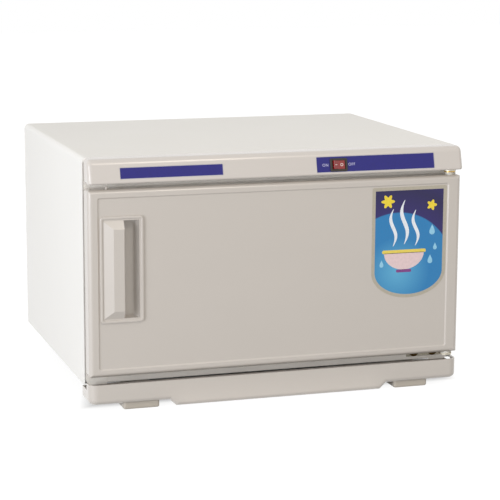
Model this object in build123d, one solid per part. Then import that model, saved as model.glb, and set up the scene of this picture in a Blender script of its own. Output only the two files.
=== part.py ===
from build123d import *
import math
import os

# Hot towel cabinet: a folded steel casing round a heated aluminium chamber, with a
# moulded door hinged on the right, a control fascia above it and a drip tray below.
# Millimetres, +Z up, +X to the right of someone facing the door, -Y towards them.
# The origin is on the table, under the middle of the cabinet.

# Casing: one sheet folded over the top and both sides
CASE_W = 450.0
CASE_H = 259.0
CASE_D = 338.0
SHEET = 1.0
BEND_R = 6.0
RETURN = 12.0
RETURN_SETBACK = 16.0
PAN_LIP = 18.0
PAN_FLANGE = 16.0
STAND = 26.0

# Clearances: pieces that slip together, pieces that turn, and a small air gap
FIT = 0.3
RUNNING = 0.05
AIR = 0.5

# Front frame: the moulded ring that the door closes against
FRAME_LEFT_INSET = 1.6
FRAME_RIGHT_INSET = 5.2
FRAME_T = 2.5
FRAME_DEEP = 14.0
FRAME_R = 7.0
FRAME_SILL = 2.2
FRAME_CORNER_SILL = 0.2
FRAME_LEFT_SEAM = 24.4
FRAME_RIGHT_SEAM = 24.3
SEAM_W = 0.5
SEAM_TOP = 12.0
RIB_T = 2.0

# Chamber: the aluminium box that holds the towels, and the air round its blanket
CHAMBER_AIR = 16.7
CHAMBER_DROP = 32.0
CHAMBER_LIFT = 36.0
CHAMBER_REAR_ROOM = 74.0
CHAMBER_R = 12.0
CHAMBER_T = 1.0
CHAMBER_FLANGE = 8.0
BEAD_R = 6.0
BEAD_LIFT = 22.0
BEAD_SETBACK = 12.0
INSULATION_T = 18.0

# Wire rack
RACK_WIRE_R = 2.0
RACK_BAR_R = 1.25
RACK_BARS = 14
RACK_PLAY = 1.5
RACK_CORNER_R = 14.0

# Heater mat, thermostat and thermal cut-out
HEATER_EDGE = 33.0
HEATER_SETBACK = 30.0
HEATER_T = 2.5
HEATER_R = 8.0
LEAD_HOLE_R = 2.0
LEAD_INSET = 30.0
LEAD_SETBACK = 10.0
DISC_R = 8.0
DISC_H = 9.0
THERMOSTAT_X = 60.0
CUTOUT_X = 100.0
SENSOR_LIFT = 28.0

# Control fascia
FASCIA_H = 27.0
FASCIA_INSET = 1.5
FASCIA_FOOT = 26.2
FASCIA_HEAD = 19.0
FASCIA_WALL = 2.5
FASCIA_TOP_R = 8.0
FASCIA_FOOT_R = 2.0
FASCIA_CORNER_R = 5.0
PLATE_RECESS = 0.8
LEFT_PLATE_X = -128.0
LEFT_PLATE_W = 119.0
LEFT_PLATE_H = 13.2
RIGHT_PLATE_X = 114.8
RIGHT_PLATE_W = 145.6
RIGHT_PLATE_H = 18.6
LEFT_PLATE_DROP = 2.2
RIGHT_PLATE_DROP = 1.6
PLATE_R = 1.0

# Rocker switch
SWITCH_X = 69.0
SWITCH_DROP = 2.3
BEZEL_W = 20.9
BEZEL_H = 15.0
BEZEL_T = 1.8
SWITCH_W = 18.8
SWITCH_H = 12.8
SWITCH_DEEP = 14.0
WINDOW_W = 16.0
WINDOW_H = 10.4
WINDOW_DEEP = 7.0
ROCKER_L = 14.4
ROCKER_THROW = 20.0
ROCKER_PIVOT = 1.0
ROCKER_VALLEY = 1.3
ROCKER_SKIRT = 3.6
TRUNNION_R = 1.4
TRUNNION_L = 0.9
BLADE_W = 4.8
BLADE_T = 0.8
BLADE_L = 8.0

# Door
DOOR_LEFT_INSET = 1.2
DOOR_RIGHT_INSET = 2.5
DOOR_TOP_GAP = 6.7
DOOR_LIFT = 13.0
DOOR_PROUD = 22.0
DOOR_BACK_GAP = 1.5
DOOR_WALL = 2.5
DOOR_EDGE_R = 5.0
DOOR_CORNER_R = 3.5
DOOR_HINGE_R = 9.0
PANEL_DEPTH = 1.2
PANEL_STEP = 1.5
PANEL_LEFT = 10.8
PANEL_TOP = 8.5
PANEL_FOOT = 8.0
PANEL_RIGHT = 15.0
PANEL_R = 3.0
HINGE_WALL = 9.0
LINER_T = 1.0
LINER_SETBACK = 7.5
LINER_DISH = 10.5
LINER_DISH_GAP = 8.0
LINER_DRAFT = 4.0
POST_R = 3.2
POST_GAP = 0.3
GASKET_W = 10.0
GASKET_GAP = 1.6

# Grip: a moulding set in the door, with a finger pocket behind a raised hood
GRIP_W = 49.6
GRIP_H = 120.6
GRIP_EDGE = 13.3
GRIP_LIFT = 122.3
GRIP_PLATE_T = 1.2
GRIP_R = 4.0
BEAD_W = 3.0
BEAD_H = 2.4
POCKET_W = 18.0
POCKET_H = 111.0
POCKET_EDGE = 4.6
POCKET_FLOOR = 10.3
POCKET_SCOOP = 9.0
POCKET_REACH = 21.0
GRIP_WALL = 1.5
HOOD_W = 23.0
HOOD_TOP_W = 12.5
HOOD_H = 5.5
HOOD_BEVEL = 9.0
HOOD_WALL = 2.0
HOOD_EDGE_R = 0.8
BEAD_EDGE_R = 0.9

# Hinges: a pin at the top and one at the foot of the door's right side
PIVOT_INSET = 11.0
PIVOT_PROUD = 12.5
PIN_R = 3.0
PIN_REACH = 13.0
PIN_TIP = 0.8
BUSH_R = 5.0
BUSH_FLANGE_R = 6.0
BUSH_L = 14.0
BOSS_WALL = 3.0
HINGE_T = 1.6
HINGE_DROP = 0.4
HINGE_FOOT_GAP = 2.2
HINGE_END_R = 7.5
HINGE_NECK = 1.5
HINGE_LEAF_W = 51.0
HINGE_LEAF_H = 12.6
HINGE_LEAF_DROP = 7.4
HINGE_TOP_LEAF_H = 15.0
HINGE_TOP_SCREW_LIFT = 9.0
HINGE_SCREW_LIFT = 5.6
HINGE_SCREW_PITCH = 23.8
HINGE_SCREW_EDGE = 9.1
HINGE_SCREW_HEAD_R = 5.4
HINGE_NOTCH_GAP = 1.0
BUFFER_R = 1.5
BUFFER_H = 3.5
BUFFER_INSET = 22.8
BUFFER_PROUD = 15.0
BUFFER_EDGE_R = 0.6

# Drip tray
TRAY_OVER = 0.2
TRAY_RIGHT_INSET = 4.0
TRAY_TOP_GAP = 7.3
TRAY_PROUD = 27.0
TRAY_BACK = 10.0
TRAY_WALL = 2.0
TRAY_PLAN_R = 10.0
TRAY_SINK = 7.5
TRAY_MID_W = 248.0
TRAY_SLOPE = 8.0
TRAY_STEP_AT = 11.0
TRAY_STEP_GAP = 2.0
TRAY_FOOT_R = 5.5

# Feet
FOOT_X = 164.0
FOOT_W = 42.0
FOOT_PROUD = 21.6
FOOT_LEDGE = 8.2
FOOT_POST_W = 34.0
FOOT_POST_D = 24.0
FOOT_R = 3.0
FOOT_EDGE_R = 2.2
FOOT_WALL = 2.0
TRAY_FOOT_GAP = 1.0
REAR_FOOT_D = 30.0
REAR_FOOT_SETBACK = 14.0
COUNTERBORE_R = 5.0
COUNTERBORE_H = 19.0

# Back panel, louvres and cord gland
PANEL_EDGE = 2.0
LOUVRE_W = 110.0
LOUVRE_H = 5.0
LOUVRE_PITCH = 14.0
LOUVRE_ROWS = 6
LOUVRE_X = 95.0
LOUVRE_LIFT = 110.0
GLAND_X = 160.0
GLAND_LIFT = 34.0
GLAND_R = 12.0
GLAND_BORE_R = 3.75
GLAND_BARREL_R = 7.5
GLAND_NOSE = 14.0
GLAND_FLANGE_T = 4.0
GLAND_REACH = 12.0
NUT_AF = 22.0
NUT_T = 5.0

# Screws
SCREW_R = 1.5
SCREW_HEAD_R = 3.0
SCREW_HEAD_T = 1.8
SCREW_L = 8.0
BIG_SCREW_R = 2.0
BIG_SCREW_HEAD_R = 4.5
BIG_SCREW_HEAD_T = 2.8
BIG_SCREW_L = 10.0
SCREW_HOLE = 0.15

# Terminal block and wires
BLOCK_W = 36.0
BLOCK_D = 16.0
BLOCK_H = 17.0
BLOCK_X = 120.0
BLOCK_SETBACK = 30.0
WIRE_R = 1.8
WIRE_BEND_R = 14.0

# Places that follow from the sizes above
TOP = STAND + CASE_H
BACK_PROUD = SHEET + GLAND_NOSE
HOOD_PROUD = DOOR_PROUD - PANEL_DEPTH + GRIP_PLATE_T + HOOD_H
FRONT_PROUD = max(TRAY_PROUD, HOOD_PROUD)
FACE = FRONT_PROUD - (FRONT_PROUD + CASE_D + BACK_PROUD) / 2
BACK = FACE + CASE_D
SIDE = CASE_W / 2
INNER_SIDE = SIDE - SHEET
FLOOR = STAND + SHEET
FASCIA_BASE = TOP - FASCIA_H
DOOR_LEFT = DOOR_LEFT_INSET - SIDE
DOOR_RIGHT = SIDE - DOOR_RIGHT_INSET
DOOR_TOP = FASCIA_BASE - DOOR_TOP_GAP
DOOR_FOOT = STAND + DOOR_LIFT
DOOR_FRONT = FACE - DOOR_PROUD
DOOR_BACK = FACE - DOOR_BACK_GAP
PANEL_Y = DOOR_FRONT + PANEL_DEPTH
FRAME_LEFT = FRAME_LEFT_INSET - SIDE
FRAME_RIGHT = SIDE - FRAME_RIGHT_INSET
CHAMBER_X = INNER_SIDE - CHAMBER_AIR - INSULATION_T - FIT - CHAMBER_T
CHAMBER_BASE = STAND + CHAMBER_LIFT
CHAMBER_TOP = FASCIA_BASE - CHAMBER_DROP
CHAMBER_MOUTH = FACE + FRAME_DEEP
CHAMBER_END = BACK - CHAMBER_REAR_ROOM
PIVOT_X = DOOR_RIGHT - PIVOT_INSET
PIVOT_Y = FACE - PIVOT_PROUD
LOWER_PLATE_TOP = DOOR_FOOT - HINGE_FOOT_GAP
UPPER_PLATE_FOOT = FASCIA_BASE - HINGE_DROP - HINGE_T
LEAF_RIGHT = PIVOT_X + HINGE_END_R - HINGE_NECK
LEAF_LEFT = LEAF_RIGHT - HINGE_LEAF_W
LEAF_STEP = LEAF_LEFT + HINGE_SCREW_EDGE + HINGE_SCREW_PITCH + HINGE_SCREW_HEAD_R
LEAF_FOOT = DOOR_FOOT - HINGE_LEAF_DROP
LEAF_TOP = LEAF_FOOT + HINGE_LEAF_H
LINER_FRONT = FACE - LINER_SETBACK - LINER_T
TRAY_TOP = DOOR_FOOT - TRAY_TOP_GAP
TRAY_END_FOOT = FOOT_LEDGE + FIT
TRAY_MID_FOOT = TRAY_END_FOOT - TRAY_SINK
GRIP_X = DOOR_LEFT + GRIP_EDGE + GRIP_W / 2
GRIP_Z = DOOR_FOOT + GRIP_LIFT
GRIP_RIGHT = GRIP_X + GRIP_W / 2
POCKET_RIGHT = GRIP_RIGHT - POCKET_EDGE
HOOD_LIP = POCKET_RIGHT - POCKET_W
HOUSING_LEFT = HOOD_LIP - POCKET_REACH - GRIP_WALL
HOUSING_RIGHT = POCKET_RIGHT + GRIP_WALL
HOUSING_H = POCKET_H + 2 * GRIP_WALL
FACE_LEAN = math.degrees(math.atan2(FASCIA_FOOT - FASCIA_HEAD, FASCIA_H))
FASCIA_MID_Y = FACE - (FASCIA_FOOT + FASCIA_HEAD) / 2
FASCIA_MID_Z = FASCIA_BASE + FASCIA_H / 2
GLAND_Z = STAND + GLAND_LIFT


def box(x, y, z):
    """Box between pairs of limits."""
    size = (x[1] - x[0], y[1] - y[0], z[1] - z[0])
    return Pos((x[0] + x[1]) / 2, (y[0] + y[1]) / 2, (z[0] + z[1]) / 2) * Box(*size)


def rect(x, z, r=0.0):
    """Flat rectangle between pairs of limits, with round corners if r is given."""
    w = x[1] - x[0]
    h = z[1] - z[0]
    shape = RectangleRounded(w, h, r) if r else Rectangle(w, h)
    return Pos((x[0] + x[1]) / 2, (z[0] + z[1]) / 2) * shape


def front_plane(y):
    """Upright plane facing the user: its x is +X and its y is +Z."""
    return Plane(origin=(0, y, 0), x_dir=(1, 0, 0), z_dir=(0, -1, 0))


def prism_y(sketch, y):
    """Front view outline pushed through from y[0] to y[1]."""
    return extrude(front_plane(y[1]) * sketch, amount=y[1] - y[0])


def prism_z(sketch, z):
    return extrude(Plane.XY.offset(z[0]) * sketch, amount=z[1] - z[0])


def prism_x(sketch, x):
    """Side view outline, drawn in Y and Z, pushed through from x[0] to x[1]."""
    return extrude(Plane.YZ.offset(x[0]) * sketch, amount=x[1] - x[0])


def rod_x(x, y, z, r):
    return Pos((x[0] + x[1]) / 2, y, z) * Rot(0, 90, 0) * Cylinder(r, x[1] - x[0])


def rod_y(x, y, z, r):
    return Pos(x, (y[0] + y[1]) / 2, z) * Rot(90, 0, 0) * Cylinder(r, y[1] - y[0])


def rod_z(x, y, z, r):
    return Pos(x, y, (z[0] + z[1]) / 2) * Cylinder(r, z[1] - z[0])


def ring_y(outer, inner, y):
    return prism_y(outer - inner, y)


def pan_screw(r, head_r, head_t, length):
    """Screw along +Z: its head's underside is at the origin and the shank points down."""
    head = fillet((Pos(0, 0, head_t / 2) * Cylinder(head_r, head_t)).edges().group_by(Axis.Z)[-1], head_t * 0.45)
    return head + Pos(0, 0, -length / 2) * Cylinder(r, length)


def small_screw():
    return pan_screw(SCREW_R, SCREW_HEAD_R, SCREW_HEAD_T, SCREW_L)


def big_screw(head_r=BIG_SCREW_HEAD_R):
    return pan_screw(BIG_SCREW_R, head_r, BIG_SCREW_HEAD_T, BIG_SCREW_L)


def group(solids):
    return Compound(children=[s if isinstance(s, Solid) else s.solid() for s in solids])


# Casing and its panels

def case_outline(inset=0.0):
    """Front view of the casing: round top corners, folded lower corners."""
    x = SIDE - inset
    outline = rect((-x, x), (STAND + inset, TOP - inset))
    corners = outline.vertices().group_by(Axis.Y)[-1]
    return fillet(corners, BEND_R - inset)


def casing():
    """Top and sides, with folded returns along the foot and round the back."""
    wrap = ring_y(case_outline(), case_outline(SHEET), (FACE, BACK))
    opening = SIDE - RETURN
    wrap -= box((-opening, opening), (FACE, BACK), (STAND, FLOOR))
    wrap -= box((-INNER_SIDE, INNER_SIDE), (FACE, FACE + RETURN_SETBACK), (STAND, FLOOR))
    back_window = rect((-opening, opening), (STAND, TOP - RETURN), 3.0)
    back_window += rect((-opening, opening), (STAND, STAND + RETURN))
    wrap += ring_y(case_outline(), back_window, (BACK - SHEET, BACK))
    for x, z in back_screw_places():
        wrap -= rod_y(x, (BACK - SHEET, BACK), z, SCREW_R + SCREW_HOLE)
    return wrap


def back_screw_places():
    """Side screws go into the casing's returns, and the top and foot rows along them."""
    side = SIDE - RETURN / 2
    rows = [STAND + 20.0, STAND + CASE_H / 2, TOP - 20.0]
    places = [(x, z) for x in (-side, side) for z in rows]
    third = CASE_W / 4
    places += [(x, TOP - RETURN / 2) for x in (-third, third)]
    places += [(x, FLOOR + PAN_FLANGE / 2) for x in (-third, third)]
    return places


def base_pan():
    """Bottom sheet on the casing's returns, with a folded edge at the front and back."""
    half = INNER_SIDE - FIT
    flange_half = SIDE - RETURN - FIT
    front = FACE + FRAME_T
    pan = box((-half, half), (front, BACK - SHEET), (FLOOR, FLOOR + SHEET))
    front_half = hinge_screw_places()[0][0] - BIG_SCREW_HEAD_R - AIR
    pan += box((-front_half, front_half), (front, front + SHEET), (FLOOR, FLOOR + PAN_LIP))
    pan += box((-flange_half, flange_half), (BACK - SHEET, BACK), (FLOOR, FLOOR + PAN_FLANGE))
    for x, y in foot_screw_places():
        pan -= rod_z(x, y, (FLOOR, FLOOR + SHEET), BIG_SCREW_R + SCREW_HOLE)
    for x, z in back_screw_places():
        if z < FLOOR + PAN_FLANGE and abs(x) < flange_half:
            pan -= rod_y(x, (BACK - SHEET, BACK), z, SCREW_R + SCREW_HOLE)
    return pan


def louvre(x, z):
    """Pressed hood over a slot: a quarter-round lip that opens downwards."""
    outer = Circle(LOUVRE_H) - Circle(LOUVRE_H - SHEET)
    quarter = outer & rect((0, LOUVRE_H), (0, LOUVRE_H))
    section = Pos(BACK + SHEET - 0.01, z) * quarter
    half = LOUVRE_W / 2
    hood = prism_x(section, (x - half, x + half))
    cheek = Circle(LOUVRE_H) & rect((0, LOUVRE_H), (0, LOUVRE_H))
    for end in (x - half, x + half - SHEET):
        hood += prism_x(Pos(BACK + SHEET - 0.01, z) * cheek, (end, end + SHEET))
    return hood


def back_panel():
    """Flat cover with two banks of louvres, screwed to the casing from behind."""
    y = (BACK, BACK + SHEET)
    half = SIDE - PANEL_EDGE
    panel = prism_y(rect((-half, half), (STAND + PANEL_EDGE, TOP - PANEL_EDGE), 4.0), y)
    for side in (-LOUVRE_X, LOUVRE_X):
        for row in range(LOUVRE_ROWS):
            z = STAND + LOUVRE_LIFT + row * LOUVRE_PITCH
            slot = LOUVRE_W / 2 - SHEET
            panel -= box((side - slot, side + slot), y, (z, z + LOUVRE_H - SHEET))
            panel += louvre(side, z)
    panel -= rod_y(GLAND_X, y, GLAND_Z, GLAND_BARREL_R + FIT)
    for x, z in back_screw_places():
        panel -= rod_y(x, y, z, SCREW_R + SCREW_HOLE)
    return panel


def back_screws():
    screws = []
    for x, z in back_screw_places():
        screws.append(Pos(x, BACK + SHEET, z) * Rot(-90, 0, 0) * small_screw())
    return group(screws)


def cord_gland():
    """Round gland with a through bore, its axis along Y, drawn as a half section."""
    outside = BACK + SHEET
    inside = outside - SHEET - GLAND_REACH
    points = [
        (GLAND_BORE_R, inside),
        (GLAND_BARREL_R, inside),
        (GLAND_BARREL_R, outside),
        (GLAND_R, outside),
        (GLAND_R, outside + GLAND_FLANGE_T),
        (GLAND_BARREL_R + 0.5, outside + GLAND_NOSE - 1.5),
        (GLAND_BARREL_R - 1.0, outside + GLAND_NOSE),
        (GLAND_BORE_R, outside + GLAND_NOSE),
    ]
    section = make_face(Polyline(*points, close=True))
    return Pos(GLAND_X, 0, GLAND_Z) * revolve(section, axis=Axis.Y)


def gland_nut():
    y = (BACK - NUT_T, BACK)
    hexagon = RegularPolygon(NUT_AF / 2, 6, major_radius=False) - Circle(GLAND_BARREL_R + RUNNING)
    return prism_y(Pos(GLAND_X, GLAND_Z) * hexagon, y)


# Front frame

def frame_outline():
    """Front view of the frame's face: its foot is raised between the two corners."""
    top = TOP - SHEET - FIT
    face = rect((FRAME_LEFT, FRAME_RIGHT), (STAND + FRAME_CORNER_SILL, top), FRAME_R)
    return face - rect(frame_seams(), (STAND, STAND + FRAME_SILL))


def frame_seams():
    """X of the two joints in the frame's foot."""
    return (FRAME_LEFT + FRAME_LEFT_SEAM, FRAME_RIGHT - FRAME_RIGHT_SEAM)


def chamber_outline(grow=0.0):
    x = CHAMBER_X + grow
    return rect((-x, x), (CHAMBER_BASE - grow, CHAMBER_TOP + grow), CHAMBER_R + grow)


def switch_window():
    """Way through the frame for the back of the switch and its wires."""
    x = (SWITCH_X - BEZEL_W, SWITCH_X + BEZEL_W)
    return rect(x, (FASCIA_BASE + 1.0, TOP - 6.0), 2.0)


def front_frame():
    """Face plate, collar round the chamber's mouth, outer rim and stiffening ribs."""
    face_y = (FACE, FACE + FRAME_T)
    deep_y = (FACE + FRAME_T, FACE + FRAME_DEEP)
    frame = prism_y(frame_outline() - chamber_outline(), face_y)
    frame += ring_y(chamber_outline(RIB_T), chamber_outline(), deep_y)
    frame += prism_y(frame_rim(), deep_y)
    for k in (-1, 0, 1):
        x = 2 * k * CHAMBER_X / 3
        z = (CHAMBER_TOP + RIB_T / 2, FASCIA_BASE - RIB_T)
        frame += box((x - RIB_T / 2, x + RIB_T / 2), deep_y, z)
    for x in frame_seams():
        seam = (x - SEAM_W / 2, x + SEAM_W / 2)
        frame -= box(seam, (FACE, FACE + SEAM_W), (STAND, STAND + SEAM_TOP))
    frame -= prism_y(switch_window(), face_y)
    for x, z in hinge_screw_places():
        frame += rod_y(x, (FACE + FRAME_T, FACE + FRAME_DEEP - 2.0), z, BIG_SCREW_HEAD_R)
        frame -= rod_y(x, (FACE, FACE + FRAME_DEEP - 3.0), z, BIG_SCREW_R + SCREW_HOLE)
    return frame


def frame_rim():
    """Upright and top rim behind the face, which fits inside the casing."""
    outer = INNER_SIDE - FIT
    inner = (FRAME_LEFT + RIB_T, FRAME_RIGHT - RIB_T)
    top = TOP - SHEET - FIT
    foot = STAND + RETURN
    whole = rect((-outer, outer), (foot, top))
    whole = fillet(whole.vertices().group_by(Axis.Y)[-1], BEND_R - SHEET)
    return whole - rect(inner, (foot, top - RIB_T))


# Chamber

def bead_places():
    return [(side * CHAMBER_X, CHAMBER_BASE + BEAD_LIFT) for side in (-1, 1)]


def chamber_liner():
    """Drawn box with a front flange and a pressed bead along each side for the rack."""
    y = (CHAMBER_MOUTH, CHAMBER_END)
    liner = prism_y(chamber_outline(CHAMBER_T), (y[0], y[1] + CHAMBER_T))
    bead_y = (y[0] + BEAD_SETBACK, y[1] - BEAD_SETBACK)
    hollow = prism_y(chamber_outline(), y)
    for x, z in bead_places():
        hollow -= rod_y(x, bead_y, z, BEAD_R)
    liner -= hollow
    for x, z in bead_places():
        inner_y = (bead_y[0] + CHAMBER_T, bead_y[1] - CHAMBER_T)
        liner -= rod_y(x, inner_y, z, BEAD_R - CHAMBER_T)
    flange = chamber_outline(CHAMBER_FLANGE) - chamber_outline()
    return liner + prism_y(flange, (y[0], y[0] + CHAMBER_T))


def chamber_insulation():
    """Blanket round the chamber, behind its flange, with a window for the two sensors."""
    front = CHAMBER_MOUTH + CHAMBER_T + FIT
    wall = CHAMBER_END + CHAMBER_T + FIT
    inner = CHAMBER_T + FIT
    x = CHAMBER_X + inner + INSULATION_T
    floor = CHAMBER_BASE - inner - HEATER_T
    z = (floor - INSULATION_T, CHAMBER_TOP + inner + INSULATION_T)
    block = prism_y(rect((-x, x), z, CHAMBER_R + INSULATION_T), (front, wall + INSULATION_T))
    block -= prism_y(chamber_outline(inner), (front, wall))
    heater_x, heater_y = heater_limits(FIT)
    block -= box(heater_x, heater_y, (floor, CHAMBER_BASE))
    window_x = (THERMOSTAT_X - 2 * DISC_R, CUTOUT_X + 2 * DISC_R)
    sensor_z = CHAMBER_BASE + SENSOR_LIFT
    block -= box(window_x, (wall, wall + INSULATION_T), (sensor_z - 2 * DISC_R, sensor_z + 2 * DISC_R))
    return block


def heater_limits(grow=0.0):
    """X and Y limits of the heating mat, set in from the chamber's edges."""
    half = CHAMBER_X - HEATER_EDGE + grow
    y = (CHAMBER_MOUTH + HEATER_SETBACK - grow, CHAMBER_END - HEATER_SETBACK + grow)
    return (-half, half), y


def heater_mat():
    """Thin heating mat against the underside of the chamber, with two holes for its leads."""
    z = (CHAMBER_BASE - CHAMBER_T - HEATER_T, CHAMBER_BASE - CHAMBER_T)
    x, y = heater_limits()
    mat = prism_z(rect(x, y, HEATER_R), z)
    for inset in (LEAD_INSET, 2 * LEAD_INSET):
        mat -= rod_z(x[1] - inset, y[1] - LEAD_SETBACK, z, LEAD_HOLE_R)
    return mat


def sensor(x):
    """Disc thermostat on the chamber's back wall, with a flange and two blades."""
    wall = CHAMBER_END + CHAMBER_T
    z = CHAMBER_BASE + SENSOR_LIFT
    body = rod_y(x, (wall, wall + DISC_H), z, DISC_R)
    body += prism_y(Pos(x, z) * SlotOverall(3.4 * DISC_R, 9.0), (wall, wall + 1.2))
    for side in (-1, 1):
        centre = x + side * DISC_R / 2
        blade = box((centre - BLADE_T / 2, centre + BLADE_T / 2), (wall + DISC_H, wall + DISC_H + BLADE_L),
                    (z - BLADE_W / 2, z + BLADE_W / 2))
        body += blade
    return body


# Wire rack

def wire_rack():
    """Round-cornered loop of wire that rests on the two beads, with thinner bars on top."""
    half = CHAMBER_X - RACK_PLAY - RACK_WIRE_R
    bead_x, bead_z = bead_places()[1]
    reach = BEAD_R + RACK_WIRE_R
    drop = math.sqrt(reach ** 2 - (bead_x - half) ** 2)
    z = bead_z + drop
    y = (CHAMBER_MOUTH + BEAD_SETBACK, CHAMBER_END - BEAD_SETBACK)
    centre_y = (y[0] + y[1]) / 2
    loop = Pos(0, centre_y, z) * RectangleRounded(2 * half, y[1] - y[0], RACK_CORNER_R).wire()
    start = Plane(origin=loop @ 0, z_dir=loop % 0)
    rack = sweep(start * Circle(RACK_WIRE_R), path=loop)
    bar_z = z + RACK_WIRE_R + RACK_BAR_R - 0.5
    pitch = 2 * half / (RACK_BARS + 1)
    for i in range(RACK_BARS):
        rack += rod_y(-half + (i + 1) * pitch, (y[0] - 1.0, y[1] + 1.0), bar_z, RACK_BAR_R)
    return rack + rod_x((-half, half), centre_y, z, RACK_WIRE_R)


# Control fascia and switch

def fascia_plane(x=0.0, drop=0.0, out=0.0):
    """Plane on the fascia's leaning face: x is +X, y runs up the face, z points out."""
    lean = math.radians(FACE_LEAN)
    up = (0, math.sin(lean), math.cos(lean))
    away = (0, -math.cos(lean), math.sin(lean))
    y = FASCIA_MID_Y - drop * up[1] + out * away[1]
    z = FASCIA_MID_Z - drop * up[2] + out * away[2]
    return Plane(origin=(x, y, z), x_dir=(1, 0, 0), z_dir=away)


def fascia_form(wall=0.0):
    """Solid fascia, or the hollow inside it when a wall is given."""
    half = SIDE - FASCIA_INSET - wall
    back = FACE + (5.0 if wall else 0.0)
    lean = math.radians(FACE_LEAN)
    shift = wall / math.cos(lean)
    slope = (FASCIA_FOOT - FASCIA_HEAD) / FASCIA_H
    low = FASCIA_BASE + wall
    high = TOP - wall
    front_low = FACE - FASCIA_FOOT + shift + slope * wall
    front_high = FACE - FASCIA_HEAD + shift - slope * wall
    points = [(back, low), (front_low, low), (front_high, high), (back, high)]
    form = prism_x(make_face(Polyline(*points, close=True)), (-half, half))
    brow = form.edges().filter_by(Axis.X).group_by(Axis.Z)[-1].sort_by(Axis.Y)[0]
    form = fillet(brow, FASCIA_TOP_R - wall)
    ends = [e for e in form.edges() if abs(abs(e.center().X) - half) < 0.01 and e.center().Z > low + 0.1]
    ends = [e for e in ends if e.center().Y < back - 0.1]
    return fillet(ends, FASCIA_CORNER_R - wall)


def fascia():
    """Hollow moulding, open behind, with two plate recesses and the switch cut-out."""
    outside = fascia_form()
    foot = [e for e in outside.edges().group_by(Axis.Z)[0] if e.center().Y < FACE - 0.1]
    body = fillet(foot, FASCIA_FOOT_R) - fascia_form(FASCIA_WALL)
    left = fascia_plane(LEFT_PLATE_X, LEFT_PLATE_DROP)
    body -= extrude(left * RectangleRounded(LEFT_PLATE_W, LEFT_PLATE_H, PLATE_R), amount=-PLATE_RECESS)
    right = fascia_plane(RIGHT_PLATE_X, RIGHT_PLATE_DROP)
    body -= extrude(right * RectangleRounded(RIGHT_PLATE_W, RIGHT_PLATE_H, PLATE_R), amount=-PLATE_RECESS)
    cutout = Rectangle(SWITCH_W + 2 * FIT, SWITCH_H + 2 * FIT)
    body -= extrude(fascia_plane(SWITCH_X, SWITCH_DROP) * cutout, amount=-(PLATE_RECESS + SWITCH_DEEP + FIT))
    leaf_x = (LEAF_RIGHT - HINGE_LEAF_W - FIT, LEAF_RIGHT + FIT)
    body -= box(leaf_x, (FACE - HINGE_T - FIT, FACE), (FASCIA_BASE, FASCIA_BASE + FASCIA_WALL))
    return body


def switch_seat():
    """Plane of the recess floor that the bezel sits on."""
    return fascia_plane(SWITCH_X, SWITCH_DROP, -PLATE_RECESS)


def switch_body():
    """Bezel, body through the fascia and the window that the rocker turns in."""
    seat = switch_seat()
    body = extrude(seat * RectangleRounded(BEZEL_W, BEZEL_H, 1.5), amount=BEZEL_T)
    rim = body.faces().sort_by(Axis(seat.origin, seat.z_dir))[-1].edges()
    body = fillet(rim, 0.6)
    body += extrude(seat * RectangleRounded(SWITCH_W, SWITCH_H, 0.8), amount=-SWITCH_DEEP)
    window = seat.offset(BEZEL_T) * Rectangle(WINDOW_W, WINDOW_H)
    body -= extrude(window, amount=-WINDOW_DEEP)
    pivot = rocker_pivot()
    width = WINDOW_H + 2 * (TRUNNION_L + 0.1)
    return body - pivot.location * Rot(90, 0, 0) * Cylinder(TRUNNION_R + RUNNING, width)


def rocker_pivot():
    """Plane through the rocker's axis: the axis is its y."""
    return switch_seat().offset(-ROCKER_PIVOT)


def rocker():
    """Shallow V-topped rocker with two trunnions, lying with its right side pressed in."""
    half = ROCKER_L / 2
    rise = half * math.tan(math.radians(ROCKER_THROW / 2))
    valley = ROCKER_PIVOT + ROCKER_VALLEY
    points = [
        (-half, valley + rise),
        (0, valley),
        (half, valley + rise),
        (half, 0),
        (half - ROCKER_SKIRT, -ROCKER_SKIRT),
        (-half + ROCKER_SKIRT, -ROCKER_SKIRT),
        (-half, 0),
    ]
    width = WINDOW_H - 2 * FIT
    section = make_face(Polyline(*points, close=True))
    side_view = Plane(origin=(0, width / 2, 0), x_dir=(1, 0, 0), z_dir=(0, -1, 0))
    solid = extrude(side_view * section, amount=width)
    ends = [e for e in solid.edges() if abs(e.center().Y) < 0.01 and abs(e.center().X) > half - 0.1]
    solid = fillet(ends, 0.5)
    trunnions = WINDOW_H + 2 * TRUNNION_L
    solid += Rot(90, 0, 0) * Cylinder(TRUNNION_R, trunnions)
    return rocker_pivot().location * Rot(0, ROCKER_THROW / 2, 0) * solid


def switch_terminals():
    """Two spade blades behind the switch."""
    foot = switch_seat().offset(-SWITCH_DEEP)
    blades = []
    for side in (-1, 1):
        place = Pos(side * SWITCH_W / 4, 0) * Rectangle(BLADE_T, BLADE_W)
        blades.append(extrude(foot * place, amount=-BLADE_L))
    return group(blades)


# Door

def door_block():
    """Outer form of the door: soft front edges and a rounder rear edge on the hinge side."""
    x = (DOOR_LEFT, DOOR_RIGHT)
    y = (DOOR_FRONT, DOOR_BACK)
    z = (DOOR_FOOT, DOOR_TOP)
    block = box(x, y, z)
    hinge_edge = block.edges().filter_by(Axis.Z).group_by(Axis.Y)[-1].sort_by(Axis.X)[-1]
    block = fillet(hinge_edge, DOOR_HINGE_R)
    front = block.faces().sort_by(Axis.Y)[0].edges()
    return fillet(front, DOOR_EDGE_R) & prism_y(rect(x, z, DOOR_CORNER_R), y)


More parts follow.
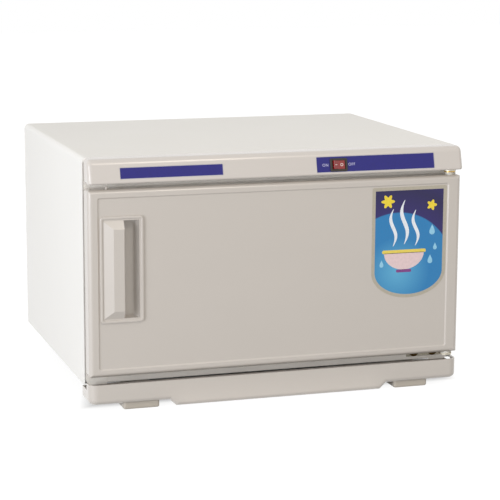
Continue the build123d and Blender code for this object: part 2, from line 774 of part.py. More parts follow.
def hinge_notch():
    """Step in the door's foot, behind, that clears the lower hinge's leaf and screws as it turns."""
    heads = FACE - HINGE_T - BIG_SCREW_HEAD_T
    x = (LEAF_LEFT - HINGE_NOTCH_GAP, DOOR_RIGHT)
    z = (DOOR_FOOT, LEAF_TOP + HINGE_NOTCH_GAP)
    notch = box(x, (heads - HINGE_NOTCH_GAP, DOOR_BACK), z)
    reach = math.hypot(PIVOT_X - LEAF_STEP, heads - PIVOT_Y) - RUNNING
    corner = box((PIVOT_X, DOOR_RIGHT), (PIVOT_Y, DOOR_BACK), z)
    return notch + (corner - rod_z(PIVOT_X, PIVOT_Y, z, reach))


def panel_recess():
    """Shallow field inside the door's border, with a sloped step all round."""
    x = (DOOR_LEFT + PANEL_LEFT, DOOR_RIGHT - PANEL_RIGHT)
    z = (DOOR_FOOT + PANEL_FOOT, DOOR_TOP - PANEL_TOP)
    slope = math.degrees(math.atan2(PANEL_STEP, PANEL_DEPTH))
    return extrude(front_plane(DOOR_FRONT) * rect(x, z, PANEL_R), amount=-PANEL_DEPTH, taper=slope)


def post_places():
    """Screws of the inner panel: along the head, the foot and both sides."""
    inset = DOOR_WALL + POST_R + POST_GAP
    third = DOOR_RIGHT * 2 / 3
    places = [(x, z) for x in (-third, 0.0, third) for z in (DOOR_FOOT + inset, DOOR_TOP - inset)]
    left = (HOUSING_LEFT + DOOR_LEFT + DOOR_WALL) / 2
    right = DOOR_RIGHT - HINGE_WALL - DOOR_WALL - POST_R
    step = (DOOR_TOP - DOOR_FOOT) / 3
    places += [(x, DOOR_FOOT + k * step) for x in (left, right) for k in (1, 2)]
    return places


def posts(y, grow=0.0):
    """Screw posts, those of the head and foot rows joined to the wall by a web."""
    solid = Part()
    for x, z in post_places():
        solid += rod_y(x, y, z, POST_R + grow)
        wall = DOOR_FOOT if z < GRIP_Z else DOOR_TOP
        if abs(z - wall) < 3 * POST_R:
            half = POST_R / 2 + grow
            solid += box((x - half, x + half), y, (min(z, wall), max(z, wall)))
    return solid


def boss_heights(gap=0.0):
    """Lower and upper Z limits of the blocks that hold the hinge bushes."""
    height = BUSH_L + BOSS_WALL + gap
    return [(DOOR_FOOT, DOOR_FOOT + height), (DOOR_TOP - height, DOOR_TOP)]


def boss_room(y):
    """Room for the hinge bosses, cut from what lies inside the door."""
    left = PIVOT_X - BUSH_R - BOSS_WALL - AIR
    low, high = boss_heights(AIR)
    return box((left, DOOR_RIGHT), y, low) + box((left, DOOR_RIGHT), y, high)


def door_skin():
    """Moulded outer door, hollow behind, with hinge bosses and screw posts."""
    skin = door_block()
    hollow_x = (DOOR_LEFT + DOOR_WALL, DOOR_RIGHT - HINGE_WALL)
    hollow_z = (DOOR_FOOT + DOOR_WALL, DOOR_TOP - DOOR_WALL)
    floor = PANEL_Y + DOOR_WALL
    hollow = prism_y(rect(hollow_x, hollow_z, 2.0), (floor, DOOR_BACK))
    for z in boss_heights():
        hollow -= box((PIVOT_X - BUSH_R - BOSS_WALL, DOOR_RIGHT), (floor, DOOR_BACK), z)
    hollow -= posts((floor, LINER_FRONT))
    skin -= hollow
    skin -= hinge_notch()
    skin -= panel_recess()
    skin -= prism_y(housing_outline(FIT), (DOOR_FRONT, floor))
    for x, z in post_places():
        skin -= rod_y(x, (LINER_FRONT - SCREW_L, LINER_FRONT), z, SCREW_R + RUNNING)
    for z in ((DOOR_FOOT, DOOR_FOOT + BUSH_L), (DOOR_TOP - BUSH_L, DOOR_TOP)):
        skin -= rod_z(PIVOT_X, PIVOT_Y, z, BUSH_R + RUNNING)
    peg_z = (DOOR_TOP - DOOR_WALL, DOOR_TOP)
    return skin - rod_z(DOOR_LEFT + BUFFER_INSET, FACE - BUFFER_PROUD, peg_z, BUFFER_R + RUNNING)


def housing_outline(grow=0.0):
    """Front view of the grip's housing behind its plate."""
    x = (HOUSING_LEFT - grow, HOUSING_RIGHT + grow)
    z = (GRIP_Z - HOUSING_H / 2 - grow, GRIP_Z + HOUSING_H / 2 + grow)
    return rect(x, z, 2.0)


def pocket():
    """Finger pocket, drawn from above: scooped on the right, running under the hood."""
    floor = PANEL_Y + POCKET_FLOOR
    mouth = PANEL_Y - GRIP_PLATE_T - BEAD_H
    roof = PANEL_Y - GRIP_PLATE_T - HOOD_H + HOOD_WALL
    left = HOOD_LIP - POCKET_REACH
    bevel = HOOD_LIP - HOOD_TOP_W
    scoop_centre = (POCKET_RIGHT - POCKET_SCOOP, floor - POCKET_SCOOP)
    k = POCKET_SCOOP * math.sqrt(0.5)
    wall = Line((POCKET_RIGHT, mouth), (POCKET_RIGHT, floor - POCKET_SCOOP))
    scoop = ThreePointArc(wall @ 1, (scoop_centre[0] + k, scoop_centre[1] + k), (scoop_centre[0], floor))
    rest = Polyline(scoop @ 1, (left, floor), (left, PANEL_Y), (bevel, roof), (HOOD_LIP, roof),
                    (HOOD_LIP, mouth), wall @ 0)
    outline = make_face([wall, scoop, rest])
    low = GRIP_Z - POCKET_H / 2
    cavity = prism_z(outline, (low, low + POCKET_H))
    under = (HOOD_LIP - 3 * HOOD_W, HOOD_LIP)
    ends = HOOD_BEVEL - HOOD_WALL
    front = (mouth - HOOD_H, PANEL_Y - GRIP_PLATE_T + HOOD_WALL / 2)
    cavity -= box(under, front, (low - 1, low + ends))
    return cavity - box(under, front, (low + POCKET_H - ends, low + POCKET_H + 1))


def hood():
    """Raised grip: bevelled on the left and at both ends, upright at the finger lip."""
    base_y = PANEL_Y - GRIP_PLATE_T
    crown_y = base_y - HOOD_H
    low = GRIP_Z - POCKET_H / 2
    high = low + POCKET_H
    from_above = Polyline((HOOD_LIP - HOOD_W, base_y), (HOOD_LIP - HOOD_TOP_W, crown_y),
                          (HOOD_LIP, crown_y), (HOOD_LIP, base_y), close=True)
    from_side = Polyline((base_y, low), (crown_y, low + HOOD_BEVEL), (crown_y, high - HOOD_BEVEL),
                         (base_y, high), close=True)
    form = prism_z(make_face(from_above), (low, high))
    form &= prism_x(make_face(from_side), (HOOD_LIP - HOOD_W, HOOD_LIP))
    return fillet(form.faces().sort_by(Axis.Y)[0].edges(), HOOD_EDGE_R)


def grip():
    """Insert in the door: plate with a bead round it, hood, and housing for the pocket."""
    front = PANEL_Y - GRIP_PLATE_T
    x = (GRIP_RIGHT - GRIP_W, GRIP_RIGHT)
    z = (GRIP_Z - GRIP_H / 2, GRIP_Z + GRIP_H / 2)
    plate = prism_y(rect(x, z, GRIP_R), (front, PANEL_Y))
    w = BEAD_W
    inner = rect((x[0] + w, x[1] - w), (z[0] + w, z[1] - w), GRIP_R - w + 0.5)
    bead = ring_y(rect(x, z, GRIP_R), inner, (PANEL_Y - BEAD_H, PANEL_Y))
    bead = fillet(bead.faces().sort_by(Axis.Y)[0].edges(), BEAD_EDGE_R)
    housing = prism_y(housing_outline(), (PANEL_Y, PANEL_Y + POCKET_FLOOR + GRIP_WALL))
    return plate + bead + hood() + housing - pocket()


def door_foam():
    """Insulation between the skin and the inner panel, cut out round grip and posts."""
    y = (PANEL_Y + DOOR_WALL + FIT, LINER_FRONT - FIT)
    x = (DOOR_LEFT + DOOR_WALL + AIR, DOOR_RIGHT - HINGE_WALL - AIR)
    z = (DOOR_FOOT + DOOR_WALL + AIR, DOOR_TOP - DOOR_WALL - AIR)
    foam = prism_y(rect(x, z, 2.0), y)
    foam -= prism_y(housing_outline(AIR), y)
    foam -= posts(y, AIR)
    foam -= boss_room(y)
    return foam.solids().sort_by(SortBy.VOLUME)[-1]


def dish(inset, y):
    """Drafted dish that fills the chamber's mouth when the door is shut."""
    x = CHAMBER_X - LINER_DISH_GAP - inset
    z = (CHAMBER_BASE + LINER_DISH_GAP + inset, CHAMBER_TOP - LINER_DISH_GAP - inset)
    draft = math.degrees(math.atan2(LINER_DRAFT, LINER_DISH))
    return extrude(front_plane(y[0]) * rect((-x, x), z, CHAMBER_R - inset), amount=y[0] - y[1], taper=draft)


def door_liner():
    """Inner panel of the door: a flat sheet with a dished centre, screwed to the posts."""
    x = (DOOR_LEFT + DOOR_WALL + FIT, DOOR_RIGHT - HINGE_WALL - FIT)
    z = (DOOR_FOOT + DOOR_WALL + FIT, DOOR_TOP - DOOR_WALL - FIT)
    y = (LINER_FRONT, LINER_FRONT + LINER_T)
    sheet = prism_y(rect(x, z, 2.0), y) - boss_room(y)
    sheet += dish(0, (y[1], y[1] + LINER_DISH))
    sheet -= dish(LINER_T, (y[0], y[1] + LINER_DISH - LINER_T))
    for px, pz in post_places():
        sheet -= rod_y(px, y, pz, SCREW_R + SCREW_HOLE)
    return sheet


def door_screws():
    seat = LINER_FRONT + LINER_T
    screws = []
    for x, z in post_places():
        screws.append(Pos(x, seat, z) * Rot(-90, 0, 0) * small_screw())
    return group(screws)


def gasket_band(width, y):
    """One layer of the seal: a band of the given width on the gasket's centre line."""
    line = CHAMBER_T + GASKET_GAP + GASKET_W / 2
    return ring_y(chamber_outline(line + width / 2), chamber_outline(line - width / 2), y)


def door_gasket():
    """Magnetic seal: foot, bellows neck and magnet head, one ring each."""
    seat = LINER_FRONT + LINER_T
    head = FACE - FIT
    neck = (seat + 1.5, head - 2.7)
    seal = gasket_band(GASKET_W, (seat, neck[0]))
    seal += gasket_band(GASKET_W / 2, neck)
    return seal + gasket_band(GASKET_W - 1.0, (neck[1], head))


def door_buffer():
    """Small nylon peg standing on the door's top edge."""
    z = (DOOR_TOP - DOOR_WALL, DOOR_TOP + BUFFER_H)
    peg = rod_z(DOOR_LEFT + BUFFER_INSET, FACE - BUFFER_PROUD, z, BUFFER_R)
    return fillet(peg.edges().group_by(Axis.Z)[-1], BUFFER_EDGE_R)


# Hinges

def hinge_plate(z):
    """Level tab: round at the pivot and running back to the leaf."""
    neck = rect((PIVOT_X - HINGE_END_R + HINGE_NECK, LEAF_RIGHT), (PIVOT_Y, FACE))
    return prism_z(Pos(PIVOT_X, PIVOT_Y) * Circle(HINGE_END_R) + neck, z)


def hinge_screw_places():
    """Two screws in the leaf of each hinge."""
    left = LEAF_LEFT + HINGE_SCREW_EDGE
    low = LEAF_FOOT + HINGE_SCREW_LIFT
    high = UPPER_PLATE_FOOT + HINGE_T + HINGE_TOP_SCREW_LIFT
    return [(left + k * HINGE_SCREW_PITCH, z) for z in (low, high) for k in (0, 1)]


def hinge_leaf(z):
    leaf = box((LEAF_LEFT, LEAF_RIGHT), (FACE - HINGE_T, FACE), z)
    for px, pz in hinge_screw_places():
        if z[0] < pz < z[1]:
            leaf -= rod_y(px, (FACE - HINGE_T, FACE), pz, BIG_SCREW_R + SCREW_HOLE)
    return leaf


def hinge_lower():
    """Bracket under the door: its leaf steps up into the door's notch and the tab carries the pin."""
    bracket = hinge_leaf((LEAF_FOOT, LEAF_TOP))
    bracket -= box((LEAF_STEP, LEAF_RIGHT), (FACE - HINGE_T, FACE), (DOOR_FOOT - AIR, LEAF_TOP))
    bracket += hinge_plate((LOWER_PLATE_TOP - HINGE_T, LOWER_PLATE_TOP))
    return bracket - rod_z(PIVOT_X, PIVOT_Y, (LOWER_PLATE_TOP - HINGE_T, LOWER_PLATE_TOP), PIN_R)


def hinge_upper():
    """Bracket over the door: its leaf stands behind the fascia."""
    foot = UPPER_PLATE_FOOT
    bracket = hinge_leaf((foot, foot + HINGE_T + HINGE_TOP_LEAF_H))
    bracket += hinge_plate((foot, foot + HINGE_T))
    return bracket - rod_z(PIVOT_X, PIVOT_Y, (foot, foot + HINGE_T), PIN_R)


def hinge_pin_lower():
    tip = DOOR_FOOT + PIN_REACH
    pin = rod_z(PIVOT_X, PIVOT_Y, (LOWER_PLATE_TOP - HINGE_T, tip), PIN_R)
    return chamfer(pin.edges().group_by(Axis.Z)[-1], PIN_TIP)


def hinge_pin_upper():
    tip = DOOR_TOP - PIN_REACH
    pin = rod_z(PIVOT_X, PIVOT_Y, (tip, UPPER_PLATE_FOOT + HINGE_T), PIN_R)
    return chamfer(pin.edges().group_by(Axis.Z)[0], PIN_TIP)


def bush_lower():
    """Flanged nylon bush pressed up into the door, which it carries on the lower tab."""
    bush = rod_z(PIVOT_X, PIVOT_Y, (DOOR_FOOT, DOOR_FOOT + BUSH_L), BUSH_R)
    bush += rod_z(PIVOT_X, PIVOT_Y, (LOWER_PLATE_TOP, DOOR_FOOT), BUSH_FLANGE_R)
    return bush - rod_z(PIVOT_X, PIVOT_Y, (LOWER_PLATE_TOP, DOOR_FOOT + PIN_REACH + AIR), PIN_R + RUNNING)


def bush_upper():
    """Flanged nylon bush in the door's top edge, just clear of the upper tab."""
    bush = rod_z(PIVOT_X, PIVOT_Y, (DOOR_TOP - BUSH_L, DOOR_TOP), BUSH_R)
    bush += rod_z(PIVOT_X, PIVOT_Y, (DOOR_TOP, UPPER_PLATE_FOOT - FIT), BUSH_R)
    return bush - rod_z(PIVOT_X, PIVOT_Y, (DOOR_TOP - PIN_REACH - AIR, UPPER_PLATE_FOOT), PIN_R + RUNNING)


def hinge_screws():
    screws = []
    for x, z in hinge_screw_places():
        screws.append(Pos(x, FACE - HINGE_T, z) * Rot(90, 0, 0) * big_screw(HINGE_SCREW_HEAD_R))
    return group(screws)


# Drip tray

def tray_form(wall=0.0):
    """Trough from outside, or its hollow when a wall is given."""
    left = -SIDE - TRAY_OVER + wall
    right = SIDE - TRAY_RIGHT_INSET - wall
    mid = TRAY_MID_W / 2 - wall
    top = TRAY_TOP + (5.0 if wall else 0.0)
    low = TRAY_END_FOOT + wall
    deep = TRAY_MID_FOOT + wall
    slope = TRAY_SLOPE + wall / 2
    points = [(left, top), (left, low), (-mid - slope, low), (-mid, deep),
              (mid, deep), (mid + slope, low), (right, low), (right, top)]
    y = (FACE - TRAY_PROUD + wall, FACE + TRAY_BACK - wall)
    body = prism_y(make_face(Polyline(*points, close=True)), y)
    plan = rect((left, right), y)
    plan = fillet(plan.vertices().group_by(Axis.Y)[0], TRAY_PLAN_R - wall)
    form = (body & prism_z(plan, (0, TOP))).solid()
    foot = [e for e in form.edges() if e.center().Z < low + 0.1 and not on_tray_floor(e, y[1])]
    return fillet(foot, TRAY_FOOT_R - wall)


def on_tray_floor(edge, rear):
    """True for the tray's rear edges and for those that cross its floor."""
    middle = edge.center()
    crosses = edge.tangent_at(0).Y ** 2 > 0.99 and abs(middle.X) < SIDE - TRAY_PLAN_R
    return middle.Y > rear - 0.1 or crosses


def drip_tray():
    """Open trough, deeper between the feet, with low ends behind to pass the casing."""
    tray = tray_form() - tray_form(TRAY_WALL)
    step = STAND - TRAY_STEP_GAP
    x = SIDE + TRAY_OVER + 1.0
    tray -= box((-x, x), (FACE - TRAY_STEP_AT, FACE + TRAY_BACK), (step, TRAY_TOP))
    return tray


# Feet

def foot_screw_places():
    front_y = FACE + TRAY_BACK + TRAY_FOOT_GAP + FOOT_POST_D / 2
    rear_y = BACK - REAR_FOOT_SETBACK - REAR_FOOT_D / 2
    return [(x, y) for y in (front_y, rear_y) for x in (-FOOT_X, FOOT_X)]


def screw_well(x, y):
    """Counterbore from below and the clearance hole above it."""
    well = rod_z(x, y, (0, COUNTERBORE_H), COUNTERBORE_R)
    return well + rod_z(x, y, (0, FLOOR), BIG_SCREW_R + SCREW_HOLE)


def foot_block(x, half, y, z):
    """Block with round upright edges."""
    block = box((x - half, x + half), y, z)
    return fillet(block.edges().filter_by(Axis.Z), FOOT_R)


def foot_hollows(x, half, y):
    """Moulding pockets to each side of the screw, open behind."""
    inner = COUNTERBORE_R + FOOT_WALL
    outer = half - FOOT_WALL
    limits_y = (y[0] + FOOT_WALL, y[1])
    limits_z = (FOOT_LEDGE, FLOOR - FOOT_WALL)
    left = box((x - outer, x - inner), limits_y, limits_z)
    return left + box((x + inner, x + outer), limits_y, limits_z)


def front_foot(x):
    """Moulded foot: a ledge under the tray and a hollow post behind it."""
    place = [p for p in foot_screw_places() if p[0] * x > 0][0]
    post_y = (place[1] - FOOT_POST_D / 2, place[1] + FOOT_POST_D / 2)
    ledge = foot_block(x, FOOT_W / 2, (FACE - FOOT_PROUD, post_y[1]), (0, FOOT_LEDGE))
    ledge = fillet(ledge.faces().sort_by(Axis.Z)[0].edges(), FOOT_EDGE_R)
    half = FOOT_POST_W / 2
    foot = ledge + foot_block(x, half, post_y, (FOOT_LEDGE, FLOOR))
    return foot - foot_hollows(x, half, post_y) - screw_well(*place)


def rear_foot(x):
    """Plain moulded foot, rounded at its base."""
    place = [p for p in foot_screw_places() if p[0] * x > 0][1]
    y = (place[1] - REAR_FOOT_D / 2, place[1] + REAR_FOOT_D / 2)
    half = FOOT_W / 2
    foot = foot_block(x, half, y, (0, FLOOR))
    foot = fillet(foot.faces().sort_by(Axis.Z)[0].edges(), FOOT_EDGE_R)
    return foot - foot_hollows(x, half, y) - screw_well(*place)


def foot_screws():
    screws = []
    for x, y in foot_screw_places():
        screws.append(Pos(x, y, COUNTERBORE_H) * Rot(180, 0, 0) * big_screw())
    return group(screws)


# Electrical parts behind the chamber

def terminal_block():
    """Three-pole block on the base, with a wire hole and a screw well for each pole."""
    y = BACK - BLOCK_SETBACK
    z = (FLOOR + SHEET, FLOOR + SHEET + BLOCK_H)
    block = box((BLOCK_X - BLOCK_W / 2, BLOCK_X + BLOCK_W / 2), (y - BLOCK_D / 2, y + BLOCK_D / 2), z)
    block = chamfer(block.edges().filter_by(Axis.X).group_by(Axis.Z)[-1], 3.0)
    pitch = BLOCK_W / 3
    for k in (-1, 0, 1):
        x = BLOCK_X + k * pitch
        block -= rod_y(x, (y - BLOCK_D / 2, y + BLOCK_D / 2), z[0] + BLOCK_H * 0.4, 2.2)
        block -= rod_z(x, y, (z[1] - 5.0, z[1]), 2.4)
    return block


def wire(points):
    """Round wire along straight runs joined by arcs."""
    path = FilletPolyline(*points, radius=WIRE_BEND_R)
    start = Plane(origin=path @ 0, z_dir=path % 0)
    return sweep(start * Circle(WIRE_R), path=path)


def wiring():
    """One wire from the block to the switch and one up to the thermal cut-out."""
    y = BACK - BLOCK_SETBACK
    block_top = FLOOR + SHEET + BLOCK_H
    roof = CHAMBER_TOP + CHAMBER_T + FIT + INSULATION_T
    high = (roof + TOP - SHEET) / 2
    x = BLOCK_X + BLOCK_W / 3
    blade = switch_seat().offset(-SWITCH_DEEP - BLADE_L)
    tail = blade.offset(-2.0 * WIRE_BEND_R)
    target = blade.origin
    behind = tail.origin
    feed = wire([(x, y, block_top), (x, y, high), (x, behind.Y + 30.0, high),
                 (target.X, behind.Y + 30.0, high), (target.X, behind.Y, behind.Z),
                 (target.X, target.Y, target.Z)])
    sensor_z = CHAMBER_BASE + SENSOR_LIFT
    sensor_end = CHAMBER_END + CHAMBER_T + DISC_H + BLADE_L
    left = BLOCK_X - BLOCK_W / 3
    spur = wire([(left, y, block_top), (left, y, sensor_z), (left - 1.0, sensor_end, sensor_z)])
    return group([feed, spur])


def save(name, shape):
    export_step(shape, "parts/" + name + ".step")


def main():
    os.makedirs("parts", exist_ok=True)
    save("casing", casing())
    save("base_pan", base_pan())
    save("back_panel", back_panel())
    save("back_screws", back_screws())
    save("cord_gland", cord_gland())
    save("gland_nut", gland_nut())
    save("front_frame", front_frame())
    save("chamber_liner", chamber_liner())
    save("chamber_insulation", chamber_insulation())
    save("heater_mat", heater_mat())
    save("thermostat", sensor(THERMOSTAT_X))
    save("thermal_cutout", sensor(CUTOUT_X))
    save("wire_rack", wire_rack())
    save("control_fascia", fascia())
    save("switch_body", switch_body())
    save("switch_rocker", rocker())
    save("switch_terminals", switch_terminals())
    save("door_skin", door_skin())
    save("door_grip", grip())
    save("door_foam", door_foam())
    save("door_liner", door_liner())
    save("door_screws", door_screws())
    save("door_gasket", door_gasket())
    save("door_buffer", door_buffer())
    save("hinge_lower", hinge_lower())
    save("hinge_upper", hinge_upper())
    save("hinge_pin_lower", hinge_pin_lower())
    save("hinge_pin_upper", hinge_pin_upper())
    save("hinge_bush_lower", bush_lower())
    save("hinge_bush_upper", bush_upper())
    save("hinge_screws", hinge_screws())
    save("drip_tray", drip_tray())
    for name, side in (("left", -1), ("right", 1)):
        save("front_foot_" + name, front_foot(side * FOOT_X))
        save("rear_foot_" + name, rear_foot(side * FOOT_X))
    save("foot_screws", foot_screws())
    save("terminal_block", terminal_block())
    save("wiring", wiring())


if __name__ == "__main__":
    main()
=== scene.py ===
"""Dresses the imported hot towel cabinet: finishes, plates, sticker, screws and a plain studio."""

import math

import bmesh
import bpy
from bpy.props import FloatProperty, FloatVectorProperty, PointerProperty
from bpy.types import Operator, Panel, PropertyGroup
from mathutils import Matrix, Vector


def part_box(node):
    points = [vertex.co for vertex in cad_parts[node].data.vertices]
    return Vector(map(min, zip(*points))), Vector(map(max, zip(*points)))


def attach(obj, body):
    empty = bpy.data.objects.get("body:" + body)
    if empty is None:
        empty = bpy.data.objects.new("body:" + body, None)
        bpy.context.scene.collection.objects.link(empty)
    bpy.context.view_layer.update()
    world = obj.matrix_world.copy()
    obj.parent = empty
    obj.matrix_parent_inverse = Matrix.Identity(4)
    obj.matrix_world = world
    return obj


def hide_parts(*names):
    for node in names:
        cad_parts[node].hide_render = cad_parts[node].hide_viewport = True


bl_info = {
    "name": "Hot Towel Cabinet",
    "version": (1, 0, 0),
    "blender": (4, 5, 0),
    "location": "View3D > Sidebar > Cabinet",
    "description": "Gives the packed towel cabinet its finishes, printed parts, screws and studio",
    "category": "Object",
}

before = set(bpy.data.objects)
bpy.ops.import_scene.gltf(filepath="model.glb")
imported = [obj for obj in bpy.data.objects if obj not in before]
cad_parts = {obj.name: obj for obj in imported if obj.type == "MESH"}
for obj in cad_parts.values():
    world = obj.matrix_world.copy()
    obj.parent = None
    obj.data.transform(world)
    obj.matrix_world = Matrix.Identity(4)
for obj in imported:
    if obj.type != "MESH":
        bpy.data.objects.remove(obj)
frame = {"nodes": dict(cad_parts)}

MM = 0.001
CASING_LOW, CASING_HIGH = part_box("casing")
DOOR_LOW, DOOR_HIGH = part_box("door_skin")
FASCIA_LOW, FASCIA_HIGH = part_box("control_fascia")

# Fascia: depth of its foot and head in front of the casing, and where its plates sit
FASCIA_FOOT = CASING_LOW.y - FASCIA_LOW.y
FASCIA_HEAD = 19.0 * MM
FASCIA_H = FASCIA_HIGH.z - FASCIA_LOW.z
FASCIA_LEAN = math.atan2(FASCIA_FOOT - FASCIA_HEAD, FASCIA_H)
PLATE_RECESS = 0.8 * MM
PANEL_DEPTH = 1.2 * MM

# Printed words: the font's size for a capital letter one unit high
FONT_TO_CAPITAL = 1.4

# Studio: the point that the lamps are turned to, their places, and half the floor's width
LAMP_TARGET = Vector((0.0, 0.0, 0.14))
SIDE_LAMP_PLACE = Vector((-2.3, -1.45, 0.22))
TOP_LAMP_PLACE = Vector((0.26, -1.2, 1.2))
FLOOR_REACH = 6.0


def srgb(red, green, blue):
    """Linear colour of an sRGB one given in 0 to 255."""
    def linear(value):
        v = value / 255.0
        return v / 12.92 if v <= 0.04045 else ((v + 0.055) / 1.055) ** 2.4
    return (linear(red), linear(green), linear(blue))


def colour(name, words, red, green, blue):
    """Setting that holds a colour."""
    return FloatVectorProperty(name=name, description=words, subtype="COLOR", size=3, min=0.0, max=1.0,
                               default=srgb(red, green, blue))


def length(name, words, millimetres):
    """Setting that holds a size."""
    return FloatProperty(name=name, description=words, unit="LENGTH", subtype="DISTANCE", min=0.0,
                         default=millimetres * MM)


def position(name, words, millimetres):
    """Setting that holds a place along X, on either side of the middle."""
    return FloatProperty(name=name, description=words, unit="LENGTH", subtype="DISTANCE",
                         default=millimetres * MM)


def turn_by(name, words, degrees):
    """Setting that holds an angle."""
    return FloatProperty(name=name, description=words, subtype="ANGLE", default=math.radians(degrees))


def power(name, words, watts):
    """Setting that holds a lamp's power."""
    return FloatProperty(name=name, description=words, unit="POWER", min=0.0, default=watts)


class CabinetFinish(PropertyGroup):
    """Colours of the cabinet's materials."""
    casing: colour("Casing paint", "Powder coat of the sheet casing", 239, 236, 230)
    panels: colour("Panel paint", "Powder coat of the base and the back", 226, 226, 221)
    plastic: colour("Cream plastic", "Door and tray", 200, 192, 183)
    # Fascia plastic is a paler copy of the cream plastic: painted light for the light its leaning face
    # catches.
    fascia: colour("Fascia plastic", "Control fascia", 207, 199, 191)
    feet: colour("Foot plastic", "Feet", 192, 183, 170)
    # Frame plastic is lifted near white beyond its own pale grey-green: painted light on the lip shaded
    # between door and tray.
    frame: colour("Frame plastic", "Ring behind the door", 250, 244, 234)
    aluminium: colour("Chamber aluminium", "Chamber and inner door", 205, 206, 208)
    bezel: colour("Bezel", "Switch bezel and body", 44, 38, 28)
    rocker: colour("Rocker", "Switch rocker", 138, 8, 5)
    plate: colour("Plate", "Printed face of the fascia plates", 24, 20, 116)
    plate_rim: colour("Plate rim", "Metal edge of the fascia plates", 190, 188, 196)
    dark_screw: colour("Dark screw", "Screws of the hinges", 118, 98, 62)
    brass: colour("Brass", "Hinge pins, washer and switch blades", 196, 160, 92)


class CabinetSticker(PropertyGroup):
    """Size and colours of the printed shield on the door."""
    width: length("Width", "Outer width", 93.0)
    straight: length("Straight side", "Height of the upright sides", 100.0)
    depth: length("Round foot", "Height of the round foot", 31.3)
    border: length("Border", "Width of the pale border", 4.0)
    corner: length("Corner", "Radius of the upper corners", 2.2)
    right_inset: length("Inset", "Distance from the door's right edge", 17.5)
    top_inset: length("Drop", "Distance from the door's top edge", 11.3)
    paper: colour("Border colour", "Silver beige border", 182, 174, 157)
    sky: colour("Field", "Blue of the field", 38, 126, 184)
    glow: colour("Glow", "Lighter blue at the middle", 96, 176, 214)
    dusk: colour("Crescent", "Purple of the crescent", 38, 26, 98)


class CabinetPlates(PropertyGroup):
    """The two plates in the fascia."""
    left_x: position("Left plate", "Middle of the left plate", -128.0)
    left_width: length("Left width", "Width of the left plate", 119.0)
    left_height: length("Left height", "Height of the left plate", 13.2)
    left_drop: length("Left drop", "Distance below the middle of the fascia", 2.2)
    right_x: position("Right plate", "Middle of the right plate", 114.8)
    right_width: length("Right width", "Width of the right plate", 145.6)
    right_height: length("Right height", "Height of the right plate", 18.6)
    right_drop: length("Right drop", "Distance below the middle of the fascia", 1.6)
    switch_x: position("Switch", "Middle of the switch", 69.0)
    switch_drop: length("Switch drop", "Distance below the middle of the fascia", 2.3)
    letter: length("Letter height", "Size of the words by the switch", 3.2)
    word_gap: length("Word gap", "From the switch's middle to a word's middle", 16.0)


class CabinetStudio(PropertyGroup):
    """Camera, lamps and surround."""
    lens: FloatProperty(name="Lens", description="Focal length in millimetres", unit="CAMERA", default=130.4)
    place: FloatVectorProperty(name="Camera", description="Camera's place", size=3, unit="LENGTH",
                               default=(-0.651, -2.1078, 0.5557))
    yaw: turn_by("Yaw", "Turn to the right", 17.72)
    pitch: turn_by("Pitch", "Tilt downwards", 10.66)
    roll: turn_by("Roll", "Roll of the camera", 0.24)
    side_lamp: power("Side lamp", "Power of the lamp on the left", 55.0)
    top_lamp: power("Top lamp", "Power of the lamp overhead", 3.0)
    sky: FloatProperty(name="Surround", description="Strength of the plain surround", min=0.0, default=0.73)


